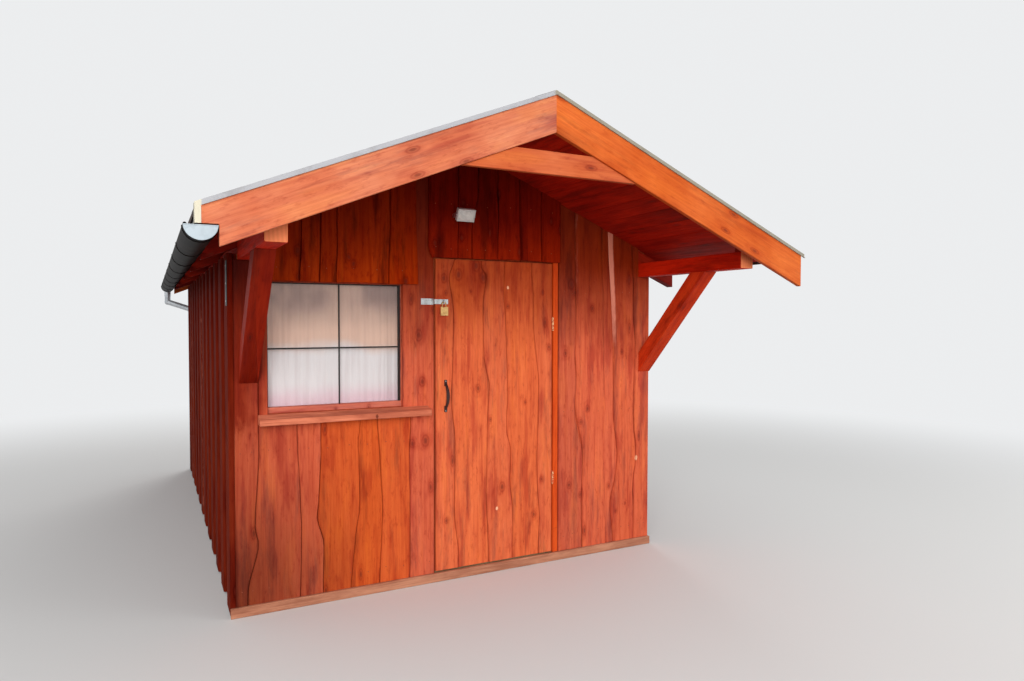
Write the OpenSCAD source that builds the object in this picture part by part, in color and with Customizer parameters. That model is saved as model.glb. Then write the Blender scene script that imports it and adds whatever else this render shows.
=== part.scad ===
// Timber boathouse with vertical waney-edge cladding, a braced front porch roof,
// a ledged door, a fixed window and a half-round gutter on the left eave.
// Frame: origin on the ground in the middle of the walls' plan, +X along the front
// to the right, +Y into the depth, +Z up. Millimetres.

/* [Walls] */
// Width over the side cladding
wall_w = 2916; // [2700:1:3200]
// Depth over the front and rear cladding
wall_d = 4400; // [3600:1:5200]
// Thickness of the front cladding boards
clad_t = 28; // [18:1:40]
// Thickness of one layer of boards on the left wall
left_layer_t = 28; // [18:1:34]
// Thickness of one layer of boards on the right and rear walls
thin_layer_t = 14; // [10:1:18]
// Width of a cover board on the side and rear walls
cover_w = 200; // [120:1:260]
// Spacing of the cover boards
cover_pitch = 370; // [300:1:480]
// Height of the left wall's cladding above the eave beams' underside
left_clad_up = 35; // [0:1:40]
// Height of the lower ends of the cladding above the ground
clad_foot = 10; // [0:1:25]
// Thickness of the outer boards over the window and the door, and of the base rail
outer_t = 22; // [16:1:30]
// Lap of the outer boards over the window past its right edge
window_head_lap = 103; // [60:1:120]
// Height of the wane at the left edge of the boards over the door
wane_h = 150; // [80:1:200]
// Width of that wane
wane_w = 34; // [15:1:45]

/* [Frame] */
// Side of the square posts and eave beams
post_s = 100; // [80:1:120]
// Height of the underside of the eave beams
beam_z = 2000; // [1950:1:2040]
// Reach of the eave beams in front of the wall
beam_reach = 1000; // [850:1:1050]
// How much lower the right eave beam lies than the left one
right_beam_drop = 16; // [0:1:40]
// Height at which the left brace's lower edge meets the wall
left_brace_foot = 1310; // [1200:1:1500]
// Height at which the right brace's lower edge meets the wall
right_brace_foot = 1286; // [1200:1:1500]
// Distance in front of the wall at which the braces' lower edge meets the beams
brace_reach = 690; // [550:1:800]
// Thickness of the studs round the door and the window
stud_s = 80; // [60:1:90]
// Thickness of the bearers under the floor
bearer_h = 32; // [24:1:40]
// Thickness of the floor boards
floor_t = 24; // [18:1:32]
// Height of the rail along the foot of the front wall
base_rail_h = 56; // [40:1:60]
// Number of bearers
bearer_n = 5; // [3:2:7]

/* [Roof] */
// Height of the roof boards' top above the eave beams, at the left wall's face
roof_lift = 99.5; // [90:0.5:130]
// Offset of the ridge from the middle of the walls
ridge_x = -35; // [-80:1:80]
// Pitch of both slopes in degrees
pitch = 22.4; // [20:0.1:25]
// Thickness of the roof boards, square to the slope
deck_t = 21; // [15:1:28]
// Overhang of the roof boards past the left wall
left_eave = 198; // [150:1:230]
// Overhang of the roof boards past the right wall
right_eave = 258; // [200:1:300]
// Reach of the front barge boards past the eave beams' ends
front_verge = 140; // [120:1:200]
// Overhang of the rear barge boards behind the wall
rear_verge = 250; // [180:1:300]
// Width of a barge board, square to the slope
barge_h = 175; // [150:1:190]
// Thickness of a barge board
barge_t = 30; // [20:1:40]
// Depth of a rafter, square to the slope
rafter_h = 120; // [110:1:130]
// Thickness of a rafter
rafter_w = 60; // [45:1:80]
// Number of rafter pairs over the room
rafter_n = 5; // [4:1:7]
// Drop from the ridge to the underside of the collar tie
collar_drop = 396; // [360:1:440]
// Height of the collar tie
collar_h = 114; // [90:1:130]
// Thickness of the collar tie
collar_t = 28; // [20:1:35]
// Setback of the collar tie's face from the barge boards' face
collar_setback = 12; // [0:1:20]

/* [Roofing] */
// Thickness of one layer of shingles
shingle_t = 8; // [5:1:10]
// Visible height of one course of shingles
shingle_course = 140; // [120:1:170]
// Height of the verge trim's upstand above the barge board
trim_up = 19; // [17:1:26]
// Thickness of the metal trim
trim_t = 2; // [1:0.5:3]
// Reach of the drip fold along the verge trim's lower edge
trim_lip = 7; // [3:1:12]
// Reach of the trim over the shingles
trim_reach = 70; // [50:1:100]
// Length of one leg of the ridge cap, along the slope
ridge_cap_leg = 130; // [100:1:180]
// Thickness of the ridge cap
ridge_cap_t = 4; // [3:0.5:6]

/* [Gutter] */
// Outer radius of the half-round gutter
gutter_r = 64.5; // [55:0.5:70]
// Wall thickness of the gutter and its end caps
gutter_t = 2; // [1.5:0.5:3]
// Drop from the roof's left edge to the gutter's rim
gutter_drop = 78; // [74:1:90]
// Diameter of the bead along the outer rim
gutter_bead_d = 14; // [10:1:18]
// Number of gutter brackets
bracket_n = 9; // [5:1:12]
// Width of a gutter bracket
bracket_w = 25; // [15:1:35]
// Thickness of a gutter bracket
bracket_t = 3; // [2:0.5:5]
// Outer diameter of the downpipe
pipe_d = 60; // [50:1:75]
// Height of the downpipe's lower clip
clip_low = 450; // [300:1:600]
// Height of the downpipe's upper clip
clip_high = 1450; // [1200:1:1550]

/* [Door] */
// Left edge of the doorway, from the middle of the walls
door_x0 = -242; // [-260:1:-200]
// Right edge of the doorway
door_x1 = 626; // [580:1:650]
// Width of the batten on the hinge side of the doorway
jamb_w = 42; // [30:1:60]
// Height of the doorway's head
door_head_z = 2060; // [1990:1:2080]
// Gap at the sides and over the door leaf
door_gap = 6; // [5:1:8]
// Height of the door leaf's lower end above the floor
door_foot_gap = 8; // [5:1:12]
// Clearance between the door leaf and its stop
door_back_gap = 6; // [5:1:8]
// Thickness of the ledges on the back of the door
ledge_t = 25; // [18:1:32]
// Height of the door handle's middle
handle_z = 1182; // [1100:1:1250]
// Height of the hasp's middle
hasp_z = 1782; // [1700:1:1850]

/* [Window] */
// Gap between the corner post and the window opening
win_post_gap = 53; // [45:1:100]
// Distance between the window opening and the doorway
win_door_gap = 213; // [160:1:280]
// Underside of the window opening
win_z0 = 1130; // [1090:1:1200]
// Top of the window opening
win_z1 = 1882; // [1800:1:1890]
// Visible height of the window's bottom rail
win_rail = 34; // [20:1:50]
// Thickness of the window frame, front to back
win_frame_t = 44; // [36:1:56]
// Thickness of the glass
glass_t = 4; // [3:0.5:6]
// Thickness of the curtain's folds
curtain_t = 12; // [8:1:16]
// Reach of the sill in front of the wall
sill_reach = 80; // [60:1:110]
// Length of the sill past the opening on the left
sill_left = 55; // [40:1:80]
// Gap between the sill and the doorway
sill_door_gap = 48; // [12:1:60]
// Thickness of the sill's front edge
sill_t = 34; // [25:1:45]
// Fall of the sill from the wall to its front edge
sill_fall = 22; // [10:1:30]

/* [Floodlight] */
// Middle of the floodlight, from the middle of the walls
lamp_x = -65; // [-150:1:150]
// Height of the floodlight's middle above the doorway
lamp_up = 267; // [200:1:330]
// Width of the floodlight
lamp_w = 118; // [100:1:180]
// Height of the floodlight
lamp_h = 78; // [70:1:120]
// Thickness of the floodlight's housing
lamp_t = 30; // [20:1:40]
// Tilt of the floodlight towards the ground in degrees
lamp_tilt = 25; // [0:1:35]
// Distance of the floodlight's middle from the boards behind it
lamp_out = 62; // [60:1:90]

/* [Corner plate] */
// Gap between the corner plate and the eave beams' underside
corner_plate_drop = 5; // [0:1:60]
// Length of the corner plate
corner_plate_h = 250; // [150:1:270]

/* [Hidden] */
$fn = 48;

// Faces of the walls
x_left = -wall_w / 2;
x_right = wall_w / 2;
y_front = -wall_d / 2;
y_rear = wall_d / 2;
left_in = x_left + 2 * left_layer_t;
right_in = x_right - 2 * thin_layer_t;
y_front_in = y_front + clad_t;
y_rear_in = y_rear - 2 * thin_layer_t;
floor_z = bearer_h + floor_t;

// Roof
rise = tan(pitch);
beam_top = beam_z + post_s;
ridge_z = beam_top + roof_lift + rise * (ridge_x - x_left);
collar_z = ridge_z - collar_drop;
deck_v = deck_t / cos(pitch);
barge_v = barge_h / cos(pitch);
rafter_v = rafter_h / cos(pitch);
eave_l = x_left - left_eave;
eave_r = x_right + right_eave;
y_barge = y_front - beam_reach - front_verge;
y_barge_rear = y_rear + rear_verge;
y_deck0 = y_barge + barge_t;
y_deck1 = y_barge_rear - barge_t;
gutter_x = eave_l;
seat_gap = 0.3;
deck_play = 0.05;
outlet_inset = 75;
y_outlet = y_barge_rear - outlet_inset;
tail_l = gutter_x + gutter_r + bracket_t;
tail_setback = 16;
tail_r = eave_r - tail_setback;
gutter_z = deck_top(eave_l) - gutter_drop;
gutter_clear = 5;
notch_z = gutter_z + gutter_clear;
beam_l0 = left_in;
beam_r1 = x_right;
roofing_gap = 0.5;
roofing_top = 2 * shingle_t + roofing_gap;
big = 9000;

function deck_top(x) = ridge_z - rise * abs(x - ridge_x);

// Height that rafters and walls reach, a hair under the roof boards
function deck_under(x) = deck_top(x) - deck_v - deck_play;

// Underside of the eave beam on the same side of the ridge as x
function beam_foot(x) = x < ridge_x ? beam_z : beam_z - right_beam_drop;

// Door and its hinge line
jamb_gap = 6;
win_lap = 40;
win_x0 = left_in + post_s + win_post_gap;
win_x1 = door_x0 - win_door_gap;
left_clad_top = beam_z + left_clad_up;
wall_x1 = door_x1 + jamb_w + jamb_gap;
leaf_x0 = door_x0 + door_gap;
leaf_x1 = door_x1 - door_gap;
leaf_z0 = floor_z + door_foot_gap;
head_play = 2;
leaf_z1 = door_head_z - door_gap - head_play;
leaf_back = y_front_in - door_back_gap;
hinge_r = 6;
hinge_x = door_x1 - door_gap / 2;
hinge_y = y_front - hinge_r;
hinge_h = 90;
hinge_pin_r = 2.5;
hinge_pin_gap = 0.3;
hinge_end_gap = 0.6;
hinge_zs = [580, 1640];

// Extrudes an outline drawn in X and Z from y0 to y1
module across(y0, y1) {
    translate([0, y1, 0])
    rotate([90, 0, 0])
    linear_extrude(y1 - y0)
    children();
}

// Extrudes an outline drawn in Y and Z from x0 to x1
module along_x(x0, x1) {
    translate([x0, 0, 0])
    rotate([90, 0, 90])
    linear_extrude(x1 - x0)
    children();
}

module box(x0, x1, y0, y1, z0, z1) {
    translate([x0, y0, z0])
    cube([x1 - x0, y1 - y0, z1 - z0]);
}

// Outline of a gable wall between two x values, up to the roof boards
module gable_outline(x0, x1, z0) {
    peak = (x0 < ridge_x && x1 > ridge_x) ? [[ridge_x, deck_under(ridge_x)]] : [];
    polygon(concat([[x0, z0], [x1, z0], [x1, deck_under(x1)]], peak, [[x0, deck_under(x0)]]));
}

// Outline of what lies on one side of a height, to cut with
module below(z) {
    translate([-big / 2, z - big])
    square(big);
}

// Outline of a board that follows the slope between two x values on one side of the ridge
module slope_outline(x0, x1, top, depth) {
    polygon([[x0, deck_top(x0) + top], [x0, deck_top(x0) + top - depth],
             [x1, deck_top(x1) + top - depth], [x1, deck_top(x1) + top]]);
}

// Both eave beams' outline, to notch what they pass through
module beam_notches() {
    for (x = [beam_l0, beam_r1 - post_s])
        translate([x, beam_foot(x)])
        square(post_s);
}

// Base and floor

module base_bearers() {
    color("saddlebrown")
    for (i = [0 : bearer_n - 1]) {
        x = left_in + (right_in - left_in - post_s) * i / (bearer_n - 1);
        box(x, x + post_s, y_front_in, y_rear_in, 0, bearer_h);
    }
}

module floor_boards() {
    color("peru")
    difference() {
        box(left_in, right_in, y_front_in, y_rear_in, bearer_h, floor_z);
        corner_post_boxes(bearer_h - 1, floor_z + 1, floor_z + 1);
    }
}

module base_rail() {
    color("rosybrown")
    box(x_left, x_right, y_front - outer_t, y_front, 0, base_rail_h);
}

// Frame

module corner_post_boxes(z0, left_top, right_top) {
    for (post = [[left_in, left_top], [right_in - post_s, right_top]])
        for (y = [y_front_in, y_rear_in - post_s])
            box(post[0], post[0] + post_s, y, y + post_s, z0, post[1]);
}

module corner_posts() {
    color("firebrick")
    corner_post_boxes(bearer_h, beam_foot(x_left), beam_foot(x_right));
}

// Posts, head and stop round the doorway, and the rails under and over the window
module wall_studs() {
    stop_w = 24;
    stop_t = 22;
    head_z = win_z1 + win_lap;
    color("firebrick") {
        union() {
            box(door_x0 - stud_s, door_x0, y_front_in, y_front_in + stud_s, floor_z, door_head_z);
            box(door_x1, door_x1 + stud_s, y_front_in, y_front_in + stud_s, floor_z, door_head_z);
            box(door_x0 - stud_s, door_x1 + stud_s, y_front_in, y_front_in + stud_s,
                door_head_z, door_head_z + stud_s);
            box(door_x0, door_x0 + stop_w, y_front_in, y_front_in + stop_t, floor_z, door_head_z);
            box(door_x0, door_x1, y_front_in, y_front_in + stop_t,
                door_head_z - stop_w, door_head_z);
        }
        for (z = [win_z0 - stud_s, head_z])
            box(left_in + post_s, win_x1 + stud_s, y_front_in, y_front_in + stud_s, z, z + stud_s);
    }
}

module eave_beams() {
    color("firebrick")
    for (x = [beam_l0, beam_r1 - post_s])
        box(x, x + post_s, y_front - beam_reach, y_rear, beam_foot(x), beam_foot(x) + post_s);
}

// Square brace from the wall up to the beam, cut plumb at its foot and level at its head
module brace(x, foot_z) {
    head_z = beam_foot(x);
    lean = atan2(brace_reach, head_z - foot_z);
    along_x(x, x + post_s)
    polygon([[y_front, foot_z], [y_front, foot_z + post_s / sin(lean)],
             [y_front - brace_reach + post_s / cos(lean), head_z], [y_front - brace_reach, head_z]]);
}

module left_brace() {
    color("orangered")
    brace(beam_l0, left_brace_foot);
}

module right_brace() {
    color("orangered")
    brace(beam_r1 - post_s, right_brace_foot);
}

// Walls

module front_wall_left() {
    color("firebrick")
    across(y_front, y_front_in)
    difference() {
        gable_outline(x_left + left_layer_t, door_x0, clad_foot);
        translate([win_x0, win_z0])
        square([win_x1 - win_x0, win_z1 - win_z0]);
        beam_notches();
    }
}

module front_wall_over_door() {
    color("firebrick")
    across(y_front, y_front_in)
    gable_outline(door_x0, wall_x1, door_head_z);
}

// The boards stop under the right beam and beside it
module front_wall_right() {
    color("firebrick")
    across(y_front, y_front_in)
    difference() {
        gable_outline(wall_x1, x_right, clad_foot);
        translate([beam_r1 - post_s, beam_foot(beam_r1)])
        square(big);
    }
}

// Planed batten between the hinges and the wall boards
module door_jamb_batten() {
    color("orangered")
    box(door_x1, door_x1 + jamb_w, y_front, y_front_in, floor_z, door_head_z);
}

// Outer layer of boards over the window, with a rounded lower right corner
module window_head_boards() {
    head_gap = 3;
    x0 = left_in + post_s;
    x1 = win_x1 + window_head_lap;
    z0 = win_z1 + head_gap;
    r = 14;
    color("orangered")
    across(y_front - outer_t, y_front)
    difference() {
        gable_outline(x0, x1, z0);
        translate([x1 - r, z0])
        difference() {
            square(r);
            translate([0, r])
            circle(r);
        }
    }
}

// Outer layer of boards over the door, with a curved waney left edge
module gable_boards() {
    left_lap = 45;
    right_lap = 6;
    foot_lap = 3;
    x0 = door_x0 - left_lap;
    x1 = wall_x1 + right_lap;
    z0 = door_head_z - foot_lap;
    steps = 6;
    wane = [for (i = [0 : steps])
        [x0 + wane_w * pow(cos(90 * i / steps), 2), z0 + wane_h * i / steps]];
    color("firebrick")
    across(y_front - outer_t, y_front)
    polygon(concat([for (i = [steps : -1 : 0]) wane[i]],
                   [[x1, z0], [x1, deck_under(x1)], [ridge_x, deck_under(ridge_x)],
                    [x0, deck_under(x0)]]));
}

// Plan of the cover boards along a wall, as deep as both layers
module cover_plan(length, depth) {
    n = round((length - cover_w) / cover_pitch) + 1;
    step = (length - cover_w) / (n - 1);
    for (i = [0 : n - 1])
        translate([i * step, 0])
        square([cover_w, depth]);
}

// Plan of a board-on-board wall: an inner layer and the cover boards on it
module board_plan(length, t) {
    square([length, t]);
    cover_plan(length, 2 * t);
}

// The cover boards run past both gable walls' edges, the inner layer ends between them
module left_wall() {
    mid = x_left + left_layer_t;
    color("brown")
    translate([0, 0, clad_foot])
    linear_extrude(left_clad_top - clad_foot) {
        translate([mid, y_front_in])
        square([left_layer_t, y_rear_in - y_front_in]);
        translate([mid, y_front])
        rotate(90)
        cover_plan(wall_d, left_layer_t);
    }
}

module right_wall() {
    color("brown")
    translate([right_in, y_rear, clad_foot])
    linear_extrude(beam_foot(x_right) - clad_foot)
    rotate(-90)
    board_plan(y_rear - y_front_in, thin_layer_t);
}

module rear_wall() {
    color("brown")
    difference() {
        intersection() {
            across(y_rear_in, y_rear)
            gable_outline(x_left + left_layer_t, right_in, clad_foot);
            translate([right_in, y_rear_in, 0])
            mirror([1, 0, 0])
            linear_extrude(ridge_z)
            board_plan(right_in - x_left - left_layer_t, thin_layer_t);
        }
        across(y_rear_in - 1, y_rear + 1)
        beam_notches();
    }
}

// Roof frame

function rafter_y(i) =
    y_front_in + (y_rear_in - y_front_in - rafter_w) * i / (rafter_n - 1);

// One rafter's outline, notched over the beam
module rafter_outline(side) {
    x_end = side < 0 ? tail_l : tail_r;
    difference() {
        slope_outline(min(ridge_x, x_end), max(ridge_x, x_end), -deck_v - deck_play, rafter_v);
        beam_notches();
    }
}

module left_rafters() {
    color("firebrick")
    for (i = [0 : rafter_n - 1])
        across(rafter_y(i), rafter_y(i) + rafter_w)
        rafter_outline(-1);
}

module right_rafters() {
    color("firebrick")
    for (i = [0 : rafter_n - 1])
        across(rafter_y(i), rafter_y(i) + rafter_w)
        rafter_outline(1);
}

// Rafters behind the front barge boards, each with the block that stands on the beam's end
module front_verge_rafters() {
    ridge_gap = 1.5;
    seat = 50;
    block_back = y_front - beam_reach + seat;
    color("firebrick")
    for (side = [-1, 1]) {
        x_end = side < 0 ? tail_l : tail_r;
        x_top = ridge_x + side * ridge_gap;
        x_block = side < 0 ? beam_l0 : beam_r1 - post_s;
        union() {
            across(y_deck0, y_deck0 + rafter_w)
            slope_outline(min(x_top, x_end), max(x_top, x_end), -deck_v - deck_play, rafter_v);
            across(y_deck0 + rafter_w / 2, block_back)
            polygon([[x_block, beam_foot(x_block) + post_s],
                     [x_block + post_s, beam_foot(x_block) + post_s],
                     [x_block + post_s, deck_under(x_block + post_s) - seat_gap],
                     [x_block, deck_under(x_block) - seat_gap]]);
        }
    }
}

module left_roof_boards() {
    color("firebrick")
    across(y_deck0, y_deck1)
    slope_outline(eave_l, ridge_x, 0, deck_v);
}

module right_roof_boards() {
    color("firebrick")
    across(y_deck0, y_deck1)
    slope_outline(ridge_x, eave_r, 0, deck_v);
}

// Barge board outline, with the notch that lets the gutter through at the left end
module barge_outline(side) {
    x0 = side < 0 ? eave_l : ridge_x;
    x1 = side < 0 ? ridge_x : eave_r;
    difference() {
        slope_outline(x0, x1, 0, barge_v);
        translate([tail_l - big, notch_z - big])
        square(big);
    }
}

module front_barge_left() {
    color("darkorange")
    across(y_barge, y_deck0)
    barge_outline(-1);
}

module front_barge_right() {
    color("darkorange")
    across(y_barge, y_deck0)
    barge_outline(1);
}

module rear_barge() {
    color("darkorange")
    across(y_deck1, y_barge_rear)
    union() {
        barge_outline(-1);
        barge_outline(1);
    }
}

// Board across the gable, cut to the barge boards' lower edges
module collar_tie() {
    low = deck_top(ridge_x) - barge_v;
    half_bottom = (low - collar_z) / rise;
    half_top = (low - collar_z - collar_h) / rise;
    color("darkorange")
    across(y_barge + collar_setback, y_barge + collar_setback + collar_t)
    polygon([[ridge_x - half_bottom, collar_z], [ridge_x + half_bottom, collar_z],
             [ridge_x + half_top, collar_z + collar_h], [ridge_x - half_top, collar_z + collar_h]]);
}

// Roofing

// Saw-tooth outline of the shingle courses, from the eave up to the ridge
module shingle_outline(side) {
    drip = 15;
    ridge_gap = 1;
    x_eave = side < 0 ? eave_l - drip : eave_r + drip;
    x_ridge = ridge_x + side * ridge_gap;
    run = shingle_course * cos(pitch);
    n = ceil(abs(x_ridge - x_eave) / run);
    teeth = [for (i = [0 : n - 1])
        for (end = [0, 1])
            let (along = min(run * (i + end), abs(x_ridge - x_eave)))
            let (x = x_eave - side * along)
            [x, deck_top(x) + shingle_t * (2 - end)]];
    polygon(concat([[x_ridge, deck_top(x_ridge)], [x_eave, deck_top(x_eave)]], teeth));
}

module left_shingles() {
    color("dimgray")
    across(y_barge, y_barge_rear)
    shingle_outline(-1);
}

module right_shingles() {
    color("dimgray")
    across(y_barge, y_barge_rear)
    shingle_outline(1);
}

// Strip that follows both slopes between two x values, from bottom to top above the deck
module ridge_strip(x0, x1, bottom, top) {
    polygon([[x0, deck_top(x0) + bottom], [ridge_x, ridge_z + bottom], [x1, deck_top(x1) + bottom],
             [x1, deck_top(x1) + top], [ridge_x, ridge_z + top], [x0, deck_top(x0) + top]]);
}

module ridge_cap() {
    leg = ridge_cap_leg * cos(pitch);
    color("dimgray")
    across(y_barge, y_barge_rear)
    ridge_strip(ridge_x - leg, ridge_x + leg, roofing_top, roofing_top + ridge_cap_t);
}

// Edging with its face at y_face and a flange over the shingles, dir is +1 or -1.
// A fold along its lower edge sheds water, and its left end turns down and round the corner.
module verge_trim(y_face, dir) {
    lap = 4;
    left_return = 22;
    right_return = 26;
    return_w = 24;
    cap_gap = 4;
    x0 = eave_l - left_return;
    x1 = eave_r + right_return;
    cap_leg = ridge_cap_leg * cos(pitch) + cap_gap;
    far = y_face + dir * trim_reach;
    near = y_face - dir * trim_t;
    lip = near - dir * trim_lip;
    corner_top = deck_top(x0) + trim_up;
    across(min(near, y_face), max(near, y_face))
    union() {
        ridge_strip(x0, x1, -lap, trim_up);
        translate([x0, notch_z])
        square([return_w, deck_top(eave_l) - notch_z]);
    }
    across(min(near, lip), max(near, lip))
    ridge_strip(x0 + return_w + trim_t, x1, -lap, trim_t - lap);
    across(min(near, far), max(near, far))
    translate([x0, notch_z])
    square([trim_t, corner_top - notch_z]);
    across(min(near, far), max(near, far))
    difference() {
        ridge_strip(x0, x1, roofing_top, trim_up);
        translate([ridge_x - cap_leg, 0])
        square([2 * cap_leg, big]);
    }
}

module front_verge_trim() {
    color("gainsboro")
    verge_trim(y_barge, 1);
}

module rear_verge_trim() {
    color("gainsboro")
    verge_trim(y_barge_rear, -1);
}

// Metal drip strips on the ends of the roof boards, under the shingles' lower edge
module eave_drips() {
    drop = 30;
    color("gainsboro")
    for (x = [eave_l - trim_t, eave_r]) {
        top = min(deck_top(x), deck_top(x + trim_t));
        box(x, x + trim_t, y_deck0, y_deck1, top - drop, top);
    }
}

// Gutter and downpipe

// Outline of the lower half of a ring
module half_ring(r_out, r_in) {
    intersection() {
        difference() {
            circle(r_out);
            circle(r_in);
        }
        below(0);
    }
}

module gutter() {
    color("slategray")
    union() {
        across(y_barge, y_barge_rear)
        translate([gutter_x, gutter_z])
        half_ring(gutter_r, gutter_r - gutter_t);
        for (y = [y_barge, y_barge_rear - gutter_t])
            across(y, y + gutter_t)
            translate([gutter_x, gutter_z])
            intersection() {
                circle(gutter_r - gutter_t / 2);
                below(0);
            }
        translate([gutter_x - gutter_r + gutter_bead_d / 2, y_barge_rear, gutter_z])
        rotate([90, 0, 0])
        cylinder(h = y_barge_rear - y_barge, d = gutter_bead_d);
    }
}

// Half ring under the gutter with a leg up to the roof boards
module bracket_outline() {
    r_in = gutter_r + seat_gap;
    leg_x = gutter_x + r_in;
    translate([gutter_x, gutter_z])
    half_ring(gutter_r + bracket_t, r_in);
    polygon([[leg_x, gutter_z], [tail_l, gutter_z], [tail_l, deck_under(tail_l)],
             [leg_x, deck_under(leg_x)]]);
}

module gutter_brackets() {
    end_gap = 20;
    first = y_deck0 + end_gap;
    last = y_outlet - pipe_d - bracket_w;
    color("slategray")
    for (i = [0 : bracket_n - 1]) {
        y = first + (last - first) * i / (bracket_n - 1);
        across(y, y + bracket_w)
        bracket_outline();
    }
}

pipe_socket_d = pipe_d + 6;

// Straight run of pipe between two points, with a round elbow at its start
module pipe_run(a, b) {
    v = b - a;
    translate(a)
    rotate([0, acos(v[2] / norm(v)), atan2(v[1], v[0])])
    cylinder(h = norm(v), d = pipe_d);
    translate(a)
    sphere(d = pipe_socket_d);
}

// Outlet under the gutter, swan neck to the rear corner, then down the rear wall to a shoe
module downpipe() {
    wall_gap = 12;
    y_pipe = y_rear + wall_gap + pipe_d / 2;
    x_pipe = left_in + pipe_d;
    socket_h = 45;
    clip_d = pipe_d + 5;
    clip_h = 24;
    clip_w = 12;
    outlet_h = 110;
    neck_fall = 110;
    foot_z = 130;
    shoe_fall = 65;
    shoe_reach = 90;
    gutter_foot = gutter_z - gutter_r;
    knee = [gutter_x, y_outlet, gutter_foot - outlet_h];
    heel = [x_pipe, y_pipe, knee[2] - neck_fall];
    foot = [x_pipe, y_pipe, foot_z];
    shoe = [x_pipe, y_pipe + shoe_reach, foot_z - shoe_fall];
    color("silver")
    union() {
        difference() {
            union() {
                translate(knee)
                cylinder(h = gutter_z - knee[2] - gutter_r / 2, d = pipe_d);
                translate([gutter_x, y_outlet, gutter_foot - socket_h])
                cylinder(h = socket_h + gutter_r / 2, d = pipe_socket_d);
            }
            translate([gutter_x, y_rear + big / 2, gutter_z])
            rotate([90, 0, 0])
            cylinder(h = big, r = gutter_r + seat_gap);
        }
        pipe_run(knee, heel);
        pipe_run(heel, foot);
        pipe_run(foot, shoe);
        for (z = [clip_low, clip_high]) {
            translate([x_pipe, y_pipe, z])
            cylinder(h = clip_h, d = clip_d);
            box(x_pipe - clip_w / 2, x_pipe + clip_w / 2, y_rear, y_pipe, z, z + clip_h);
        }
    }
}

// Door

module door_leaf() {
    color("orangered")
    box(leaf_x0, leaf_x1, y_front, leaf_back, leaf_z0, leaf_z1);
}

// Three ledges and two braces housed in them, rising from the hinge side
module door_ledges() {
    h = 100;
    free_end = 36;
    hinge_end = 20;
    end_z = 120;
    housing = 10;
    x0 = leaf_x0 + free_end;
    x1 = leaf_x1 - hinge_end;
    zs = [leaf_z0 + end_z, (leaf_z0 + leaf_z1 - h) / 2, leaf_z1 - end_z - h];
    color("firebrick")
    union() {
        for (z = zs)
            box(x0, x1, leaf_back, leaf_back + ledge_t, z, z + h);
        for (i = [0, 1])
            across(leaf_back, leaf_back + ledge_t)
            polygon([[x1, zs[i] + h - housing], [x1 - h, zs[i] + h - housing],
                     [x0, zs[i + 1] + housing], [x0 + h, zs[i + 1] + housing]]);
    }
}

// Lower end of hinge i, and the length of each of its three knuckles
function hinge_base(i) = hinge_zs[i] - hinge_h / 2;
knuckle_h = hinge_h / 3;
hinge_leaf_t = 2;
hinge_leaf_inset = 4;
hinge_back = leaf_back - hinge_leaf_inset;

module door_hinge_leaves() {
    color("dimgray")
    for (i = [0, 1]) {
        z = hinge_base(i) + knuckle_h + hinge_end_gap;
        h = knuckle_h - 2 * hinge_end_gap;
        difference() {
            union() {
                translate([hinge_x, hinge_y, z])
                cylinder(h = h, r = hinge_r);
                box(leaf_x1, leaf_x1 + hinge_leaf_t, hinge_y, hinge_back, z, z + h);
            }
            translate([hinge_x, hinge_y, z - 1])
            cylinder(h = h + 2, r = hinge_pin_r + hinge_pin_gap);
        }
    }
}

module frame_hinge_leaves() {
    color("dimgray")
    for (i = [0, 1])
        union() {
            translate([hinge_x, hinge_y, hinge_base(i)])
            cylinder(h = hinge_h, r = hinge_pin_r);
            for (z = [hinge_base(i), hinge_base(i) + 2 * knuckle_h]) {
                translate([hinge_x, hinge_y, z])
                cylinder(h = knuckle_h, r = hinge_r);
                box(door_x1 - hinge_leaf_t, door_x1, hinge_y, hinge_back, z, z + knuckle_h);
            }
        }
}

// Forged pull: a bowed bar between two flattened feet
module door_handle() {
    inset = 68;
    x = leaf_x0 + inset;
    bow_h = 150;
    stand = 42;
    bar_d = 11;
    foot_w = 20;
    foot_h = 40;
    foot_t = 4;
    foot_out = 8;
    foot_z = bow_h / 2 + foot_out;
    r = (bow_h * bow_h / 4 + stand * stand) / (2 * stand);
    color("dimgray")
    union() {
        intersection() {
            translate([x, y_front + r - stand, handle_z])
            rotate([0, 90, 0])
            rotate_extrude($fn = 96)
            translate([r, 0])
            circle(d = bar_d, $fn = 24);
            box(x - foot_w, x + foot_w, y_front - stand - bar_d, y_front,
                handle_z - bow_h, handle_z + bow_h);
        }
        for (z = [handle_z - foot_z, handle_z + foot_z])
            box(x - foot_w / 2, x + foot_w / 2, y_front - foot_t, y_front,
                z - foot_h / 2, z + foot_h / 2);
    }
}

// Hasp: distances in front of the wall's face
hasp_h = 38;
hasp_t = 3;
hasp_knuckle_r = 5;
hasp_inset = 14;
hasp_pivot_x = door_x0 - hasp_inset;
strap_back = 5;
strap_face = strap_back + hasp_t;
staple_inset = 53;
staple_x = leaf_x0 + staple_inset;
staple_r = 3;
staple_half = 8;
shackle_d = 6.5;
shackle_play = 2.25;
shackle_y = strap_face + shackle_play + shackle_d / 2;
staple_y = shackle_y + shackle_d / 2 + shackle_play + staple_r;

// Part of the hasp that is screwed to the wall, with its knuckle
module hasp_plate() {
    plate_w = 77;
    color("silver")
    union() {
        box(hasp_pivot_x - plate_w, hasp_pivot_x, y_front - hasp_t, y_front,
            hasp_z - hasp_h / 2, hasp_z + hasp_h / 2);
        translate([hasp_pivot_x, y_front - hasp_knuckle_r, hasp_z - hasp_h / 2])
        cylinder(h = hasp_h, r = hasp_knuckle_r);
    }
}

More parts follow.
